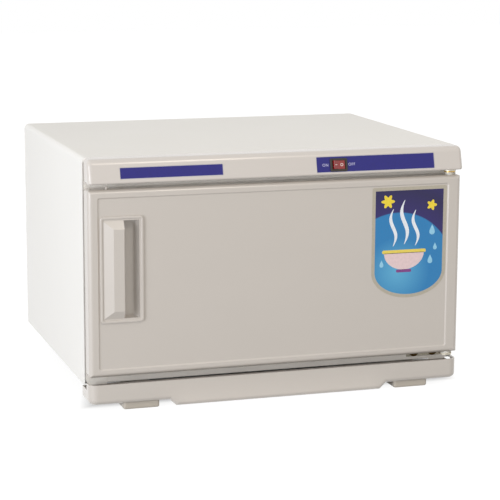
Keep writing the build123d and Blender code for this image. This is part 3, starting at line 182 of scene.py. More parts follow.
class Finish:
    """A material being mixed: its nodes, its shader and the ways to give it detail."""

    def __init__(self, name, base, roughness, metallic=0.0, coat=0.0):
        self.material = bpy.data.materials.new(name)
        self.material.use_nodes = True
        self.nodes = self.material.node_tree.nodes
        self.links = self.material.node_tree.links
        self.nodes.clear()
        self.shader = self.nodes.new("ShaderNodeBsdfPrincipled")
        output = self.nodes.new("ShaderNodeOutputMaterial")
        self.links.new(self.shader.outputs[0], output.inputs[0])
        self.base = tuple(base)
        self.set("Base Color", (*self.base, 1.0))
        self.set("Roughness", roughness)
        self.set("Metallic", metallic)
        self.set("Coat Weight", coat)
        self.set("Coat Roughness", 0.24)
        self.place = self.nodes.new("ShaderNodeTexCoord").outputs["Object"]
        self.normal = None
        self.material.diffuse_color = (*self.base, 1.0)

    def set(self, socket, value):
        """Sets a value that is the same all over."""
        self.shader.inputs[socket].default_value = value

    def stretched(self, scale):
        """Object coordinates multiplied by the scale on each axis."""
        mapping = self.nodes.new("ShaderNodeMapping")
        mapping.inputs["Scale"].default_value = scale
        self.links.new(self.place, mapping.inputs["Vector"])
        return mapping.outputs[0]

    def parted(self):
        """Object coordinates as three separate values."""
        split = self.nodes.new("ShaderNodeSeparateXYZ")
        self.links.new(self.place, split.inputs[0])
        return split.outputs

    def noise(self, scale, detail=2.0, stretch=None):
        """Cloudy pattern, stretched on request."""
        texture = self.nodes.new("ShaderNodeTexNoise")
        texture.inputs["Scale"].default_value = scale
        texture.inputs["Detail"].default_value = detail
        self.links.new(self.stretched(stretch) if stretch else self.place, texture.inputs["Vector"])
        return texture.outputs["Fac"]

    def cells(self, scale):
        """Pattern of small cells."""
        texture = self.nodes.new("ShaderNodeTexVoronoi")
        texture.inputs["Scale"].default_value = scale
        self.links.new(self.place, texture.inputs["Vector"])
        return texture.outputs["Distance"]

    def between(self, factor, low, high, start=0.3, end=0.7):
        """Spreads a factor over the range from low to high."""
        spread = self.nodes.new("ShaderNodeMapRange")
        for socket, value in (("From Min", start), ("From Max", end), ("To Min", low), ("To Max", high)):
            spread.inputs[socket].default_value = value
        self.links.new(factor, spread.inputs["Value"])
        return spread.outputs[0]

    def maths(self, operation, first, second=None):
        """Result of a sum on one or two values, each a socket or a number."""
        node = self.nodes.new("ShaderNodeMath")
        node.operation = operation
        for socket, value in zip(node.inputs, (first, second)):
            if isinstance(value, (int, float)):
                socket.default_value = value
            elif value is not None:
                self.links.new(value, socket)
        return node.outputs[0]

    def ramp(self, factor, stops):
        """Colour ramp through (position, colour) stops."""
        ramp = self.nodes.new("ShaderNodeValToRGB")
        points = ramp.color_ramp.elements
        for i, (position, shade) in enumerate(stops):
            point = points[i] if i < 2 else points.new(position)
            point.position = position
            point.color = (*shade, 1.0)
        self.links.new(factor, ramp.inputs[0])
        return ramp.outputs[0]

    def tint(self, factor, amount, other=None):
        """Varies the base colour a little either way, or towards another colour."""
        dark = tuple(c * (1.0 - amount) for c in self.base)
        light = other or tuple(min(1.0, c * (1.0 + amount)) for c in self.base)
        shade = self.ramp(factor, [(0.3, dark), (0.7, light)])
        self.links.new(shade, self.shader.inputs["Base Color"])
        return self

    def gloss(self, factor, low, high):
        """Varies the roughness between two values."""
        self.links.new(self.between(factor, low, high), self.shader.inputs["Roughness"])
        return self

    def relief(self, factor, millimetres, strength=1.0):
        """Adds a bump of that depth on top of those before it."""
        bump = self.nodes.new("ShaderNodeBump")
        bump.inputs["Strength"].default_value = strength
        bump.inputs["Distance"].default_value = millimetres * MM
        self.links.new(factor, bump.inputs["Height"])
        if self.normal:
            self.links.new(self.normal, bump.inputs["Normal"])
        self.normal = bump.outputs[0]
        self.links.new(self.normal, self.shader.inputs["Normal"])
        return self


# Materials

MOULDING_COAT = 0.8


def powder_coat(name, base):
    """Satin powder coat: fine orange peel and faint cloudiness."""
    finish = Finish(name, base, 0.55)
    finish.tint(finish.noise(3.5, 3.0), 0.012)
    finish.gloss(finish.noise(14.0, 3.0), 0.5, 0.6)
    finish.relief(finish.noise(1100.0, 1.0), 0.03, 0.5)
    return finish.relief(finish.noise(260.0, 2.0), 0.05, 0.5).material


def polished(finish, shine):
    """Slightly uneven gloss over a very fine grain."""
    finish.gloss(finish.noise(9.0, 2.0), shine - 0.02, shine + 0.03)
    return finish.relief(finish.noise(900.0, 1.0), 0.01, 0.6).material


def moulded_plastic(name, base, shine=0.3):
    """Glossy moulding: slight flow waves in its surface and a little cloudiness."""
    finish = Finish(name, base, shine, coat=MOULDING_COAT)
    finish.tint(finish.noise(14.0, 2.0, (1.0, 1.0, 2.2)), 0.005)
    finish.relief(finish.noise(5.0, 1.0), 0.2, 0.3)
    return polished(finish, shine)


def tray_plastic(name, base, low, high, shine=0.3):
    """Glossy moulding with painted bounce light: a little paler at the foot of its deep middle."""
    finish = Finish(name, base, shine, coat=MOULDING_COAT)
    across, _, up = finish.parted()
    reach = (high.x - low.x) / 2
    away = finish.maths("ABSOLUTE", finish.maths("SUBTRACT", across, (low.x + high.x) / 2))
    inner = finish.between(away, 1.0, 0.0, 0.5 * reach, 0.66 * reach)
    down = finish.between(up, 1.0, 0.0, low.z, high.z)
    # Painted bounce light: the base colour pales towards the foot of the tray's middle, as if lit from the
    # floor.
    bounce_lit = tuple(min(1.0, 1.16 * c) for c in finish.base)
    finish.tint(finish.between(finish.maths("MULTIPLY", inner, down), 0.3, 0.7, 0.0, 1.0), 0.0, bounce_lit)
    return polished(finish, shine)


def satin_plastic(name, base, roughness=0.5):
    """Satin moulding with a fine spark-eroded grain."""
    finish = Finish(name, base, roughness)
    finish.tint(finish.noise(30.0, 3.0), 0.03)
    finish.gloss(finish.noise(60.0, 2.0), roughness - 0.06, roughness + 0.08)
    return finish.relief(finish.noise(2200.0, 2.0), 0.04, 0.8).material


def brushed_metal(name, base, roughness, stretch=(2.0, 90.0, 90.0)):
    """Rolled sheet: fine lines along one axis."""
    finish = Finish(name, base, roughness, metallic=1.0)
    lines = finish.noise(22.0, 4.0, stretch)
    finish.tint(lines, 0.08)
    finish.gloss(lines, roughness - 0.08, roughness + 0.12)
    return finish.relief(lines, 0.03, 0.5).material


def plated_metal(name, base, roughness):
    """Plated steel or brass: tiny spangles and handling marks."""
    finish = Finish(name, base, roughness, metallic=1.0)
    finish.tint(finish.noise(180.0, 3.0), 0.16)
    finish.gloss(finish.noise(240.0, 3.0), roughness - 0.08, roughness + 0.14)
    return finish.relief(finish.noise(1500.0, 2.0), 0.02, 0.6).material


def chrome(name, base):
    """Bright plated wire with faint handling marks."""
    finish = Finish(name, base, 0.1, metallic=1.0)
    finish.tint(finish.noise(40.0, 2.0), 0.03)
    finish.gloss(finish.noise(120.0, 3.0), 0.06, 0.18)
    return finish.relief(finish.noise(300.0, 1.0), 0.02, 0.3).material


def rubber(name, base):
    """Dull rubber with a fine grain."""
    finish = Finish(name, base, 0.68)
    finish.tint(finish.noise(90.0, 3.0), 0.06)
    finish.gloss(finish.noise(140.0, 2.0), 0.6, 0.78)
    return finish.relief(finish.noise(1400.0, 2.0), 0.06, 0.7).material


def wool(name, base):
    """Glass wool: matted fibres in two directions."""
    finish = Finish(name, base, 0.95)
    fibres = finish.noise(60.0, 8.0, (1.0, 5.0, 5.0))
    finish.tint(fibres, 0.16)
    finish.gloss(fibres, 0.88, 1.0)
    return finish.relief(fibres, 2.0, 0.7).material


def foam(name, base):
    """Rigid foam: small open cells."""
    finish = Finish(name, base, 0.9)
    cells = finish.cells(420.0)
    finish.tint(cells, 0.1)
    finish.gloss(cells, 0.82, 0.98)
    return finish.relief(cells, 0.6, 0.6).material


def print_ink(name, base, roughness=0.35):
    """Screen print: an even layer with slight mottling."""
    finish = Finish(name, base, roughness)
    finish.tint(finish.noise(320.0, 3.0), 0.05)
    finish.gloss(finish.noise(50.0, 1.0), roughness - 0.02, roughness + 0.03)
    return finish.relief(finish.noise(1600.0, 1.0), 0.01, 0.4).material


def sticker_print(sticker):
    """Blue field that glows at its middle, with a purple crescent over its upper right."""
    finish = Finish("sticker_field", sticker.sky, 0.3)
    glow_middle = (-14.0 * MM, -34.0 * MM, 0.0)
    far_corner = 120.0 * MM
    offset = finish.nodes.new("ShaderNodeVectorMath")
    offset.operation = "DISTANCE"
    finish.links.new(finish.place, offset.inputs[0])
    offset.inputs[1].default_value = glow_middle
    span = finish.between(offset.outputs["Value"], 0.0, 1.0, 0.0, far_corner)
    deep = tuple(0.55 * c for c in sticker.dusk)
    shade = finish.ramp(span, [(0.0, sticker.glow), (0.34, sticker.sky), (0.575, sticker.sky),
                               (0.585, sticker.dusk), (0.80, deep), (1.0, sticker.dusk)])
    finish.links.new(shade, finish.shader.inputs["Base Color"])
    finish.gloss(finish.noise(16.0, 1.0), 0.28, 0.33)
    return finish.relief(finish.noise(1200.0, 2.0), 0.01, 0.4).material


def studio_paper(name, base, low, high):
    """Floor paper: shows white to camera and gloss but not in the shade under and behind low to high."""
    slant = 0.3
    shade_edge = (0.86, 1.04)
    shown_white = 0.92
    finish = Finish(name, base, 0.9)
    finish.set("Specular IOR Level", 0.0)
    finish.set("Emission Color", (1.0, 1.0, 1.0, 1.0))
    rays = finish.nodes.new("ShaderNodeLightPath").outputs
    ray = finish.maths("MAXIMUM", rays["Is Camera Ray"], rays["Is Glossy Ray"])
    ray = finish.maths("MAXIMUM", ray, rays["Is Transmission Ray"])
    middle = (low + high) / 2
    reach = (high - low) / 2
    across, along, _ = finish.parted()
    lean = finish.maths("MULTIPLY", finish.maths("SUBTRACT", along, low.y), slant)
    sides = []
    for k, value in enumerate((finish.maths("SUBTRACT", across, lean), along)):
        away = finish.maths("ABSOLUTE", finish.maths("SUBTRACT", value, middle[k]))
        sides.append(finish.maths("DIVIDE", away, reach[k]))
    clear = finish.between(finish.maths("MAXIMUM", *sides), 0.0, 1.0, *shade_edge)
    seen = finish.maths("MULTIPLY", ray, clear)
    glow = finish.between(seen, 0.0, shown_white, 0.0, 1.0)
    finish.links.new(glow, finish.shader.inputs["Emission Strength"])
    bright = tuple(0.45 * c for c in base)
    finish.links.new(finish.ramp(seen, [(0.0, base), (1.0, bright)]), finish.shader.inputs["Base Color"])
    return finish.material


# Shapes

def dress(material, *nodes):
    """Gives CAD nodes a material."""
    for name in nodes:
        mesh = frame["nodes"][name].data
        mesh.materials.clear()
        mesh.materials.append(material)


def piece_from(name, bm, material, body, place):
    """Finishes a bmesh as a piece that rides on a body."""
    bmesh.ops.recalc_face_normals(bm, faces=bm.faces)
    mesh = bpy.data.meshes.new(name)
    bm.to_mesh(mesh)
    bm.free()
    mesh.materials.append(material)
    piece = bpy.data.objects.new(name, mesh)
    bpy.context.scene.collection.objects.link(piece)
    piece.matrix_world = place
    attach(piece, body)
    return piece


def add_slab(bm, outline, low, high):
    """Adds a flat slab with that outline between two heights."""
    foot = bm.faces.new([bm.verts.new((x, y, low)) for x, y in outline])
    lifted = bmesh.ops.extrude_face_region(bm, geom=[foot])["geom"]
    raised = [v for v in lifted if isinstance(v, bmesh.types.BMVert)]
    bmesh.ops.translate(bm, verts=raised, vec=(0.0, 0.0, high - low))
    return bm


def add_band(bm, outer, inner, low, high):
    """Adds a closed band between two outlines that have the same number of points."""
    rings = []
    for outline, z in ((outer, low), (outer, high), (inner, high), (inner, low)):
        rings.append([bm.verts.new((x, y, z)) for x, y in outline])
    count = len(outer)
    for k in range(4):
        first = rings[k]
        second = rings[(k + 1) % 4]
        for i in range(count):
            j = (i + 1) % count
            bm.faces.new((first[i], first[j], second[j], second[i]))
    return bm


def arc(centre, radius, start, end, steps):
    """Points along an arc between two angles in degrees; the radius may be a pair."""
    rx, ry = radius if isinstance(radius, tuple) else (radius, radius)
    points = []
    for i in range(steps + 1):
        angle = math.radians(start + (end - start) * i / steps)
        points.append((centre[0] + rx * math.cos(angle), centre[1] + ry * math.sin(angle)))
    return points


def circle(radius):
    """Points round a circle about the origin, ten degrees apart."""
    return arc((0.0, 0.0), radius, 0, 350, 35)


def moved(outline, x, y):
    """The outline shifted by x and y."""
    return [(px + x, py + y) for px, py in outline]


def rounded(width, height, radius, steps=6):
    """Rectangle about the origin with round corners."""
    x = width / 2 - radius
    y = height / 2 - radius
    points = []
    for quarter, (cx, cy) in enumerate(((x, y), (-x, y), (-x, -y), (x, -y))):
        points += arc((cx, cy), radius, 90 * quarter, 90 * quarter + 90, steps)
    return points


def shield(sticker, inset=0.0):
    """Outline of the sticker about its own middle: square shoulders and a round foot."""
    half = sticker.width / 2 - inset
    height = sticker.straight + sticker.depth
    top = height / 2 - inset
    waist = -height / 2 + sticker.depth
    corner = max(sticker.corner - inset / 2, 0.3 * MM)
    points = arc((half - corner, top - corner), corner, 0, 90, 5)
    points += arc((-half + corner, top - corner), corner, 90, 180, 5)
    return points + arc((0.0, waist), (half, sticker.depth - inset), 180, 360, 48)


def blossom(centre, radius, petals):
    """Round flower with shallow petals."""
    points = []
    for i in range(60):
        angle = math.tau * i / 60
        reach = radius * (0.78 + 0.22 * math.cos(petals * angle))
        points.append((centre[0] + reach * math.cos(angle), centre[1] + reach * math.sin(angle)))
    return points


def drop(centre, radius):
    """Water drop with its point upwards."""
    points = []
    for i in range(28):
        angle = math.tau * i / 28
        side = math.sin(angle) * math.sin(angle / 2) ** 1.6
        points.append((centre[0] + radius * 0.8 * side, centre[1] + radius * math.cos(angle)))
    return points


def steam(foot, height, sway, width, steps=26):
    """Rising curl that tapers at both ends."""
    left = []
    right = []
    for i in range(steps + 1):
        rise = i / steps
        middle = foot[0] + sway * math.sin(math.tau * rise)
        half = width / 2 * math.sin(math.pi * (0.04 + 0.92 * rise))
        left.append((middle - half, foot[1] + height * rise))
        right.append((middle + half, foot[1] + height * rise))
    return left + right[::-1]


def fascia_place(x, drop_by, out=0.0):
    """Matrix on the fascia's leaning face: x to the right, y up the face, z outwards."""
    up = Vector((0.0, math.sin(FASCIA_LEAN), math.cos(FASCIA_LEAN)))
    away = Vector((0.0, -math.cos(FASCIA_LEAN), math.sin(FASCIA_LEAN)))
    middle = Vector((x, CASING_LOW.y - (FASCIA_FOOT + FASCIA_HEAD) / 2, (FASCIA_LOW.z + FASCIA_HIGH.z) / 2))
    return on_surface(middle - up * drop_by + away * out, away, up)


def on_surface(point, away, up):
    """Matrix at a point with z along away and y near up."""
    across = up.cross(away).normalized()
    upright = away.cross(across).normalized()
    columns = Matrix((across, upright, away)).transposed()
    return Matrix.Translation(point) @ columns.to_4x4()


def hit(node, start, direction):
    """Point and normal where a ray meets a CAD node."""
    found, point, normal, _ = frame["nodes"][node].ray_cast(start, direction)
    if not found:
        raise RuntimeError(f"no surface of {node} there")
    return point, normal


def solid_boxes(node):
    """Lowest and highest corner of each separate solid in a CAD node."""
    bm = bmesh.new()
    bm.from_mesh(frame["nodes"][node].data)
    bmesh.ops.remove_doubles(bm, verts=bm.verts, dist=1e-6)
    boxes = []
    waiting = set(bm.verts)
    while waiting:
        group = [waiting.pop()]
        for vert in group:
            for edge in vert.link_edges:
                other = edge.other_vert(vert)
                if other in waiting:
                    waiting.remove(other)
                    group.append(other)
        low = Vector([min(v.co[k] for v in group) for k in range(3)])
        high = Vector([max(v.co[k] for v in group) for k in range(3)])
        boxes.append((low, high))
    bm.free()
    return sorted(boxes, key=lambda b: tuple(round(c, 5) for c in b[0]))


def word(name, text, size, material, body, place):
    """A printed word lying on a surface."""
    curve = bpy.data.curves.new(name, "FONT")
    curve.body = text
    curve.size = size * FONT_TO_CAPITAL
    curve.align_x = "CENTER"
    curve.align_y = "CENTER"
    curve.space_character = 1.12
    curve.extrude = 0.02 * MM
    curve.offset = 0.06 * MM
    curve.materials.append(material)
    words = bpy.data.objects.new(name, curve)
    bpy.context.scene.collection.objects.link(words)
    words.matrix_world = place
    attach(words, body)
    return words


# Screws: head radius, head height, shank radius and shank length

SMALL_SCREW = (3.0 * MM, 1.8 * MM, 1.5 * MM, 8.0 * MM)
BIG_SCREW = (4.5 * MM, 2.8 * MM, 2.0 * MM, 10.0 * MM)
BROAD_SCREW = (5.4 * MM, 2.8 * MM, 2.0 * MM, 10.0 * MM)


def lathe(bm, profile, steps=32):
    """Turns a profile of (radius, height) points about z; it starts and ends on the axis."""
    rings = []
    for radius, height in profile[1:-1]:
        ring = []
        for i in range(steps):
            angle = math.tau * i / steps
            ring.append(bm.verts.new((radius * math.cos(angle), radius * math.sin(angle), height)))
        rings.append(ring)
    first = bm.verts.new((0.0, 0.0, profile[0][1]))
    last = bm.verts.new((0.0, 0.0, profile[-1][1]))
    for i in range(steps):
        j = (i + 1) % steps
        bm.faces.new((first, rings[0][i], rings[0][j]))
        bm.faces.new((last, rings[-1][j], rings[-1][i]))
        for low, high in zip(rings, rings[1:]):
            bm.faces.new((low[i], high[i], high[j], low[j]))
    return bm


def cross_outline(arm, width):
    """Plus-shaped outline of a cross recess."""
    h = width / 2
    return [(arm, -h), (arm, h), (h, h), (h, arm), (-h, arm), (-h, h), (-arm, h), (-arm, -h),
            (-h, -h), (-h, -arm), (h, -arm), (h, -h)]


def screw_mesh(name, head_r, head_t, shank_r, shank_l):
    """Pan head with a cross recess over a threaded shank, its seat at the origin."""
    profile = [(0.0, -shank_l), (shank_r * 0.4, -shank_l), (shank_r, -shank_l + shank_r)]
    threads = int((shank_l - shank_r) / (0.55 * shank_r))
    step = (shank_l - shank_r) / threads
    for i in range(threads):
        profile.append((shank_r * 0.82, -shank_l + shank_r + (i + 0.5) * step))
        profile.append((shank_r, -shank_l + shank_r + (i + 1) * step))
    profile += [(head_r, 0.0), (head_r, head_t * 0.35)]
    for i in range(1, 6):
        angle = math.radians(90 * i / 6)
        profile.append((head_r * (0.55 + 0.45 * math.cos(angle)), head_t * (0.35 + 0.65 * math.sin(angle))))
    profile += [(head_r * 0.5, head_t), (0.0, head_t)]
    bm = lathe(bmesh.new(), profile)
    bmesh.ops.recalc_face_normals(bm, faces=bm.faces)
    body = bpy.data.meshes.new(name)
    bm.to_mesh(body)
    bm.free()
    cross = cross_outline(head_r * 0.55, head_r * 0.24)
    recess_floor = head_t * 0.3
    cutter = add_slab(bmesh.new(), cross, recess_floor, head_t * 1.5)
    bmesh.ops.recalc_face_normals(cutter, faces=cutter.faces)
    return recessed(name, body, cutter)


def recessed(name, body, cutter):
    """Mesh of the body with the cutter's space taken out of it."""
    knife_mesh = bpy.data.meshes.new(name + "_knife")
    cutter.to_mesh(knife_mesh)
    cutter.free()
    block = bpy.data.objects.new(name + "_blank", body)
    knife = bpy.data.objects.new(name + "_knife", knife_mesh)
    for item in (block, knife):
        bpy.context.scene.collection.objects.link(item)
    cut = block.modifiers.new("recess", "BOOLEAN")
    cut.operation = "DIFFERENCE"
    cut.object = knife
    shown = block.evaluated_get(bpy.context.evaluated_depsgraph_get())
    result = bpy.data.meshes.new_from_object(shown)
    result.name = name
    bpy.data.objects.remove(block)
    bpy.data.objects.remove(knife)
    return result


def place_screws(node, name, head_axis, mesh, material, body):
    """Puts a screw in place of each solid of a CAD node; head_axis points out of the heads."""
    axis = max(range(3), key=lambda k: abs(head_axis[k]))
    up = Vector((0.0, 0.0, 1.0)) if axis != 2 else Vector((0.0, 1.0, 0.0))
    head_t = max(v.co.z for v in mesh.vertices)
    mesh.materials.append(material)
    for i, (low, high) in enumerate(solid_boxes(node), 1):
        seat = (low + high) / 2
        tip = high if head_axis[axis] > 0 else low
        seat[axis] = tip[axis] - head_axis[axis] * head_t
        screw = bpy.data.objects.new(f"{name}_{i}", mesh)
        bpy.context.scene.collection.objects.link(screw)
        turn = Matrix.Rotation(math.radians(23.0 + 31.0 * i), 4, "Z")
        screw.matrix_world = on_surface(seat, head_axis, up) @ turn
        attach(screw, body)
        if i == 1:
            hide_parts(node)


# Operators, one for each piece or group of like pieces

class CABINET_OT_steel_panels(Operator):
    """Powder coat on the casing, the base pan and the back panel"""
    bl_idname = "cabinet.steel_panels"
    bl_label = "Steel Panels"

    def execute(self, context):
        finish = context.scene.cabinet_finish
        dress(powder_coat("casing_paint", finish.casing), "casing")
        dress(powder_coat("panel_paint", finish.panels), "base_pan", "back_panel")
        return {"FINISHED"}


class CABINET_OT_mouldings(Operator):
    """Cream plastic on the door, its grip and buffer, the fascia, the tray, the feet and the frame"""
    bl_idname = "cabinet.mouldings"
    bl_label = "Mouldings"

    def execute(self, context):
        finish = context.scene.cabinet_finish
        cream = moulded_plastic("cream_plastic", finish.plastic)
        dress(cream, "door_skin", "door_grip")
        # The drip tray carries painted bounce light low in its middle.
        dress(tray_plastic("tray_plastic", finish.plastic, *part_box("drip_tray")), "drip_tray")
        dress(satin_plastic("buffer_plastic", finish.plastic, 0.6), "door_buffer")
        # The fascia takes the paler copy of the cream plastic: painted light.
        dress(moulded_plastic("fascia_lit_plastic", finish.fascia), "control_fascia")
        feet = satin_plastic("foot_plastic", finish.feet, 0.4)
        dress(feet, "front_foot_left", "front_foot_right", "rear_foot_left", "rear_foot_right")
        # The frame's near-white tone is painted light for its shaded lip.
        dress(satin_plastic("frame_plastic", finish.frame, 0.42), "front_frame")
        return {"FINISHED"}


class CABINET_OT_chamber(Operator):
    """Aluminium, wire, heater, sensors and insulation round the chamber"""
    bl_idname = "cabinet.chamber"
    bl_label = "Chamber"

    def execute(self, context):
        finish = context.scene.cabinet_finish
        sheet = brushed_metal("chamber_aluminium", finish.aluminium, 0.34)
        dress(sheet, "chamber_liner", "door_liner")
        dress(chrome("rack_chrome", srgb(214, 214, 216)), "wire_rack")
        dress(rubber("heater_silicone", srgb(188, 84, 52)), "heater_mat")
        dress(satin_plastic("sensor_phenolic", srgb(58, 52, 48)), "thermostat", "thermal_cutout")
        dress(wool("blanket_wool", srgb(228, 216, 172)), "chamber_insulation")
        dress(foam("door_foam", srgb(232, 230, 218)), "door_foam")
        dress(rubber("seal_rubber", srgb(206, 206, 202)), "door_gasket")
        return {"FINISHED"}


class CABINET_OT_wiring(Operator):
    """Terminal block, wires, blades, gland and its nut"""
    bl_idname = "cabinet.wiring"
    bl_label = "Wiring and Gland"

    def execute(self, context):
        finish = context.scene.cabinet_finish
        dress(satin_plastic("block_nylon", srgb(226, 226, 216)), "terminal_block")
        dress(rubber("wire_sleeve", srgb(128, 34, 30)), "wiring")
        dress(plated_metal("blade_brass", finish.brass, 0.3), "switch_terminals")
        dress(satin_plastic("gland_nylon", srgb(30, 30, 31), 0.45), "cord_gland", "gland_nut")
        return {"FINISHED"}


class CABINET_OT_hinges(Operator):
    """Zinc brackets, brass pins with a washer, and nylon bushes"""
    bl_idname = "cabinet.hinges"
    bl_label = "Hinges"

    def execute(self, context):
        finish = context.scene.cabinet_finish
        dress(plated_metal("bracket_zinc", srgb(206, 200, 184), 0.5), "hinge_lower", "hinge_upper")
        brass = plated_metal("pin_brass", finish.brass, 0.26)
        dress(brass, "hinge_pin_lower", "hinge_pin_upper")
        self.washer(brass)
        nylon = satin_plastic("bush_nylon", srgb(222, 218, 208), 0.42)
        dress(nylon, "hinge_bush_lower", "hinge_bush_upper")
        return {"FINISHED"}

    def washer(self, material):
        """Brass washer round the top of the upper bush, under the bracket."""
        play = 0.1 * MM
        width = 1.5 * MM
        thick = 1.3 * MM
        low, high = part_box("hinge_bush_upper")
        hole = (high.x - low.x) / 2 + play
        bm = add_band(bmesh.new(), circle(hole + width), circle(hole), -thick, 0.0)
        place = Matrix.Translation(((low.x + high.x) / 2, (low.y + high.y) / 2, high.z))
        piece_from("hinge_washer", bm, material, "cabinet", place)


class CABINET_OT_screws(Operator):
    """Cross-recess screws in place of the plain ones"""
    bl_idname = "cabinet.screws"
    bl_label = "Screws"

    def execute(self, context):
        finish = context.scene.cabinet_finish
        zinc = plated_metal("screw_zinc", srgb(186, 186, 182), 0.3)
        dark = plated_metal("screw_bronzed", finish.dark_screw, 0.42)
        back = Vector((0.0, 1.0, 0.0))
        front = Vector((0.0, -1.0, 0.0))
        down = Vector((0.0, 0.0, -1.0))
        for name, head_axis, size, material, body, slot in (
                ("back_screw", back, SMALL_SCREW, zinc, "cabinet", "screw_steel"),
                ("door_screw", back, SMALL_SCREW, zinc, "door", "screw_steel"),
                ("foot_screw", down, BIG_SCREW, zinc, "cabinet", "screw_steel"),
                ("hinge_screw", front, BROAD_SCREW, dark, "cabinet", "dark_screw")):
            place_screws(name + "s", name, head_axis, screw_mesh(name, *size), material, body)
        return {"FINISHED"}


class CABINET_OT_plates(Operator):
    """The two printed plates in the fascia's recesses"""
    bl_idname = "cabinet.plates"
    bl_label = "Fascia Plates"

    def execute(self, context):
        finish = context.scene.cabinet_finish
        plates = context.scene.cabinet_plates
        rim = print_ink("plate_rim", finish.plate_rim, 0.3)
        ink = print_ink("plate_print", finish.plate, 0.32)
        self.plate("plate_left", fascia_place(plates.left_x, plates.left_drop, -PLATE_RECESS),
                   plates.left_width, plates.left_height, rim, ink, None)
        offset = plates.switch_x - plates.right_x
        window = (offset, plates.right_drop - plates.switch_drop)
        self.plate("plate_right", fascia_place(plates.right_x, plates.right_drop, -PLATE_RECESS),
                   plates.right_width, plates.right_height, rim, ink, window)
        return {"FINISHED"}

    def plate(self, name, place, width, height, rim, ink, window):
        """A thin plate with a metal edge and a print; a window clears the switch."""
        gap = 0.15 * MM
        edge = 0.45 * MM
        thick = PLATE_RECESS - 0.08 * MM
        print_thick = thick - 0.03 * MM
        inner_width = width - 2 * gap - 2 * edge
        inner_height = height - 2 * gap - 2 * edge
        inner = rounded(inner_width, inner_height, 0.6 * MM)
        bm = add_band(bmesh.new(), rounded(width - 2 * gap, height - 2 * gap, 0.85 * MM), inner, 0.0, thick)
        piece_from(name + "_rim", bm, rim, "cabinet", place)
        bm = bmesh.new()
        if window:
            self.windowed(bm, inner_width, inner_height, window, print_thick)
        else:
            add_slab(bm, inner, 0.0, print_thick)
        piece_from(name, bm, ink, "cabinet", place)

    def windowed(self, bm, width, height, window, thick):
        """Plate in four strips round the switch's body."""
        x = width / 2
        y = height / 2
        half_x = 9.7 * MM
        half_y = 6.7 * MM
        left = window[0] - half_x
        right = window[0] + half_x
        low = window[1] - half_y
        high = window[1] + half_y
        strips = ((-x, left, -y, y), (right, x, -y, y), (left, right, -y, low), (left, right, high, y))
        for x0, x1, y0, y1 in strips:
            add_slab(bm, [(x0, y0), (x1, y0), (x1, y1), (x0, y1)], 0.0, thick)


class CABINET_OT_switch(Operator):
    """Switch finishes, the marks on its rocker and the words beside it"""
    bl_idname = "cabinet.switch"
    bl_label = "Switch"

    def execute(self, context):
        finish = context.scene.cabinet_finish
        plates = context.scene.cabinet_plates
        dress(satin_plastic("switch_bezel", finish.bezel, 0.38), "switch_body")
        dress(moulded_plastic("switch_rocker", finish.rocker, 0.26), "switch_rocker")
        thick = 0.06 * MM
        half = 3.6 * MM
        line = add_slab(bmesh.new(), rounded(3.0 * MM, 0.9 * MM, 0.3 * MM), 0.0, thick)
        ring = add_band(bmesh.new(), circle(1.75 * MM), circle(1.05 * MM), 0.0, thick)
        pale = print_ink("switch_marks", srgb(226, 206, 198), 0.4)
        self.mark("rocker_line", line, plates, -half, pale)
        self.mark("rocker_ring", ring, plates, half, pale)
        words = print_ink("switch_words", srgb(186, 184, 214), 0.4)
        sunk = 0.1 * MM
        for name, text, side in (("word_on", "ON", -1), ("word_off", "OFF", 1)):
            place = fascia_place(plates.switch_x + side * plates.word_gap, plates.switch_drop, -sunk)
            word(name, text, plates.letter, words, "cabinet", place)
        return {"FINISHED"}

    def mark(self, name, bm, plates, offset, material):
        """Lays a printed mark on one half of the rocker."""
        start = 12.0 * MM
        sunk = 0.02 * MM
        above = fascia_place(plates.switch_x + offset, plates.switch_drop, start)
        away = above.to_3x3() @ Vector((0.0, 0.0, 1.0))
        up = above.to_3x3() @ Vector((0.0, 1.0, 0.0))
        point, normal = hit("switch_rocker", above.translation, -away)
        piece_from(name, bm, material, "rocker", on_surface(point - normal * sunk, normal, up))


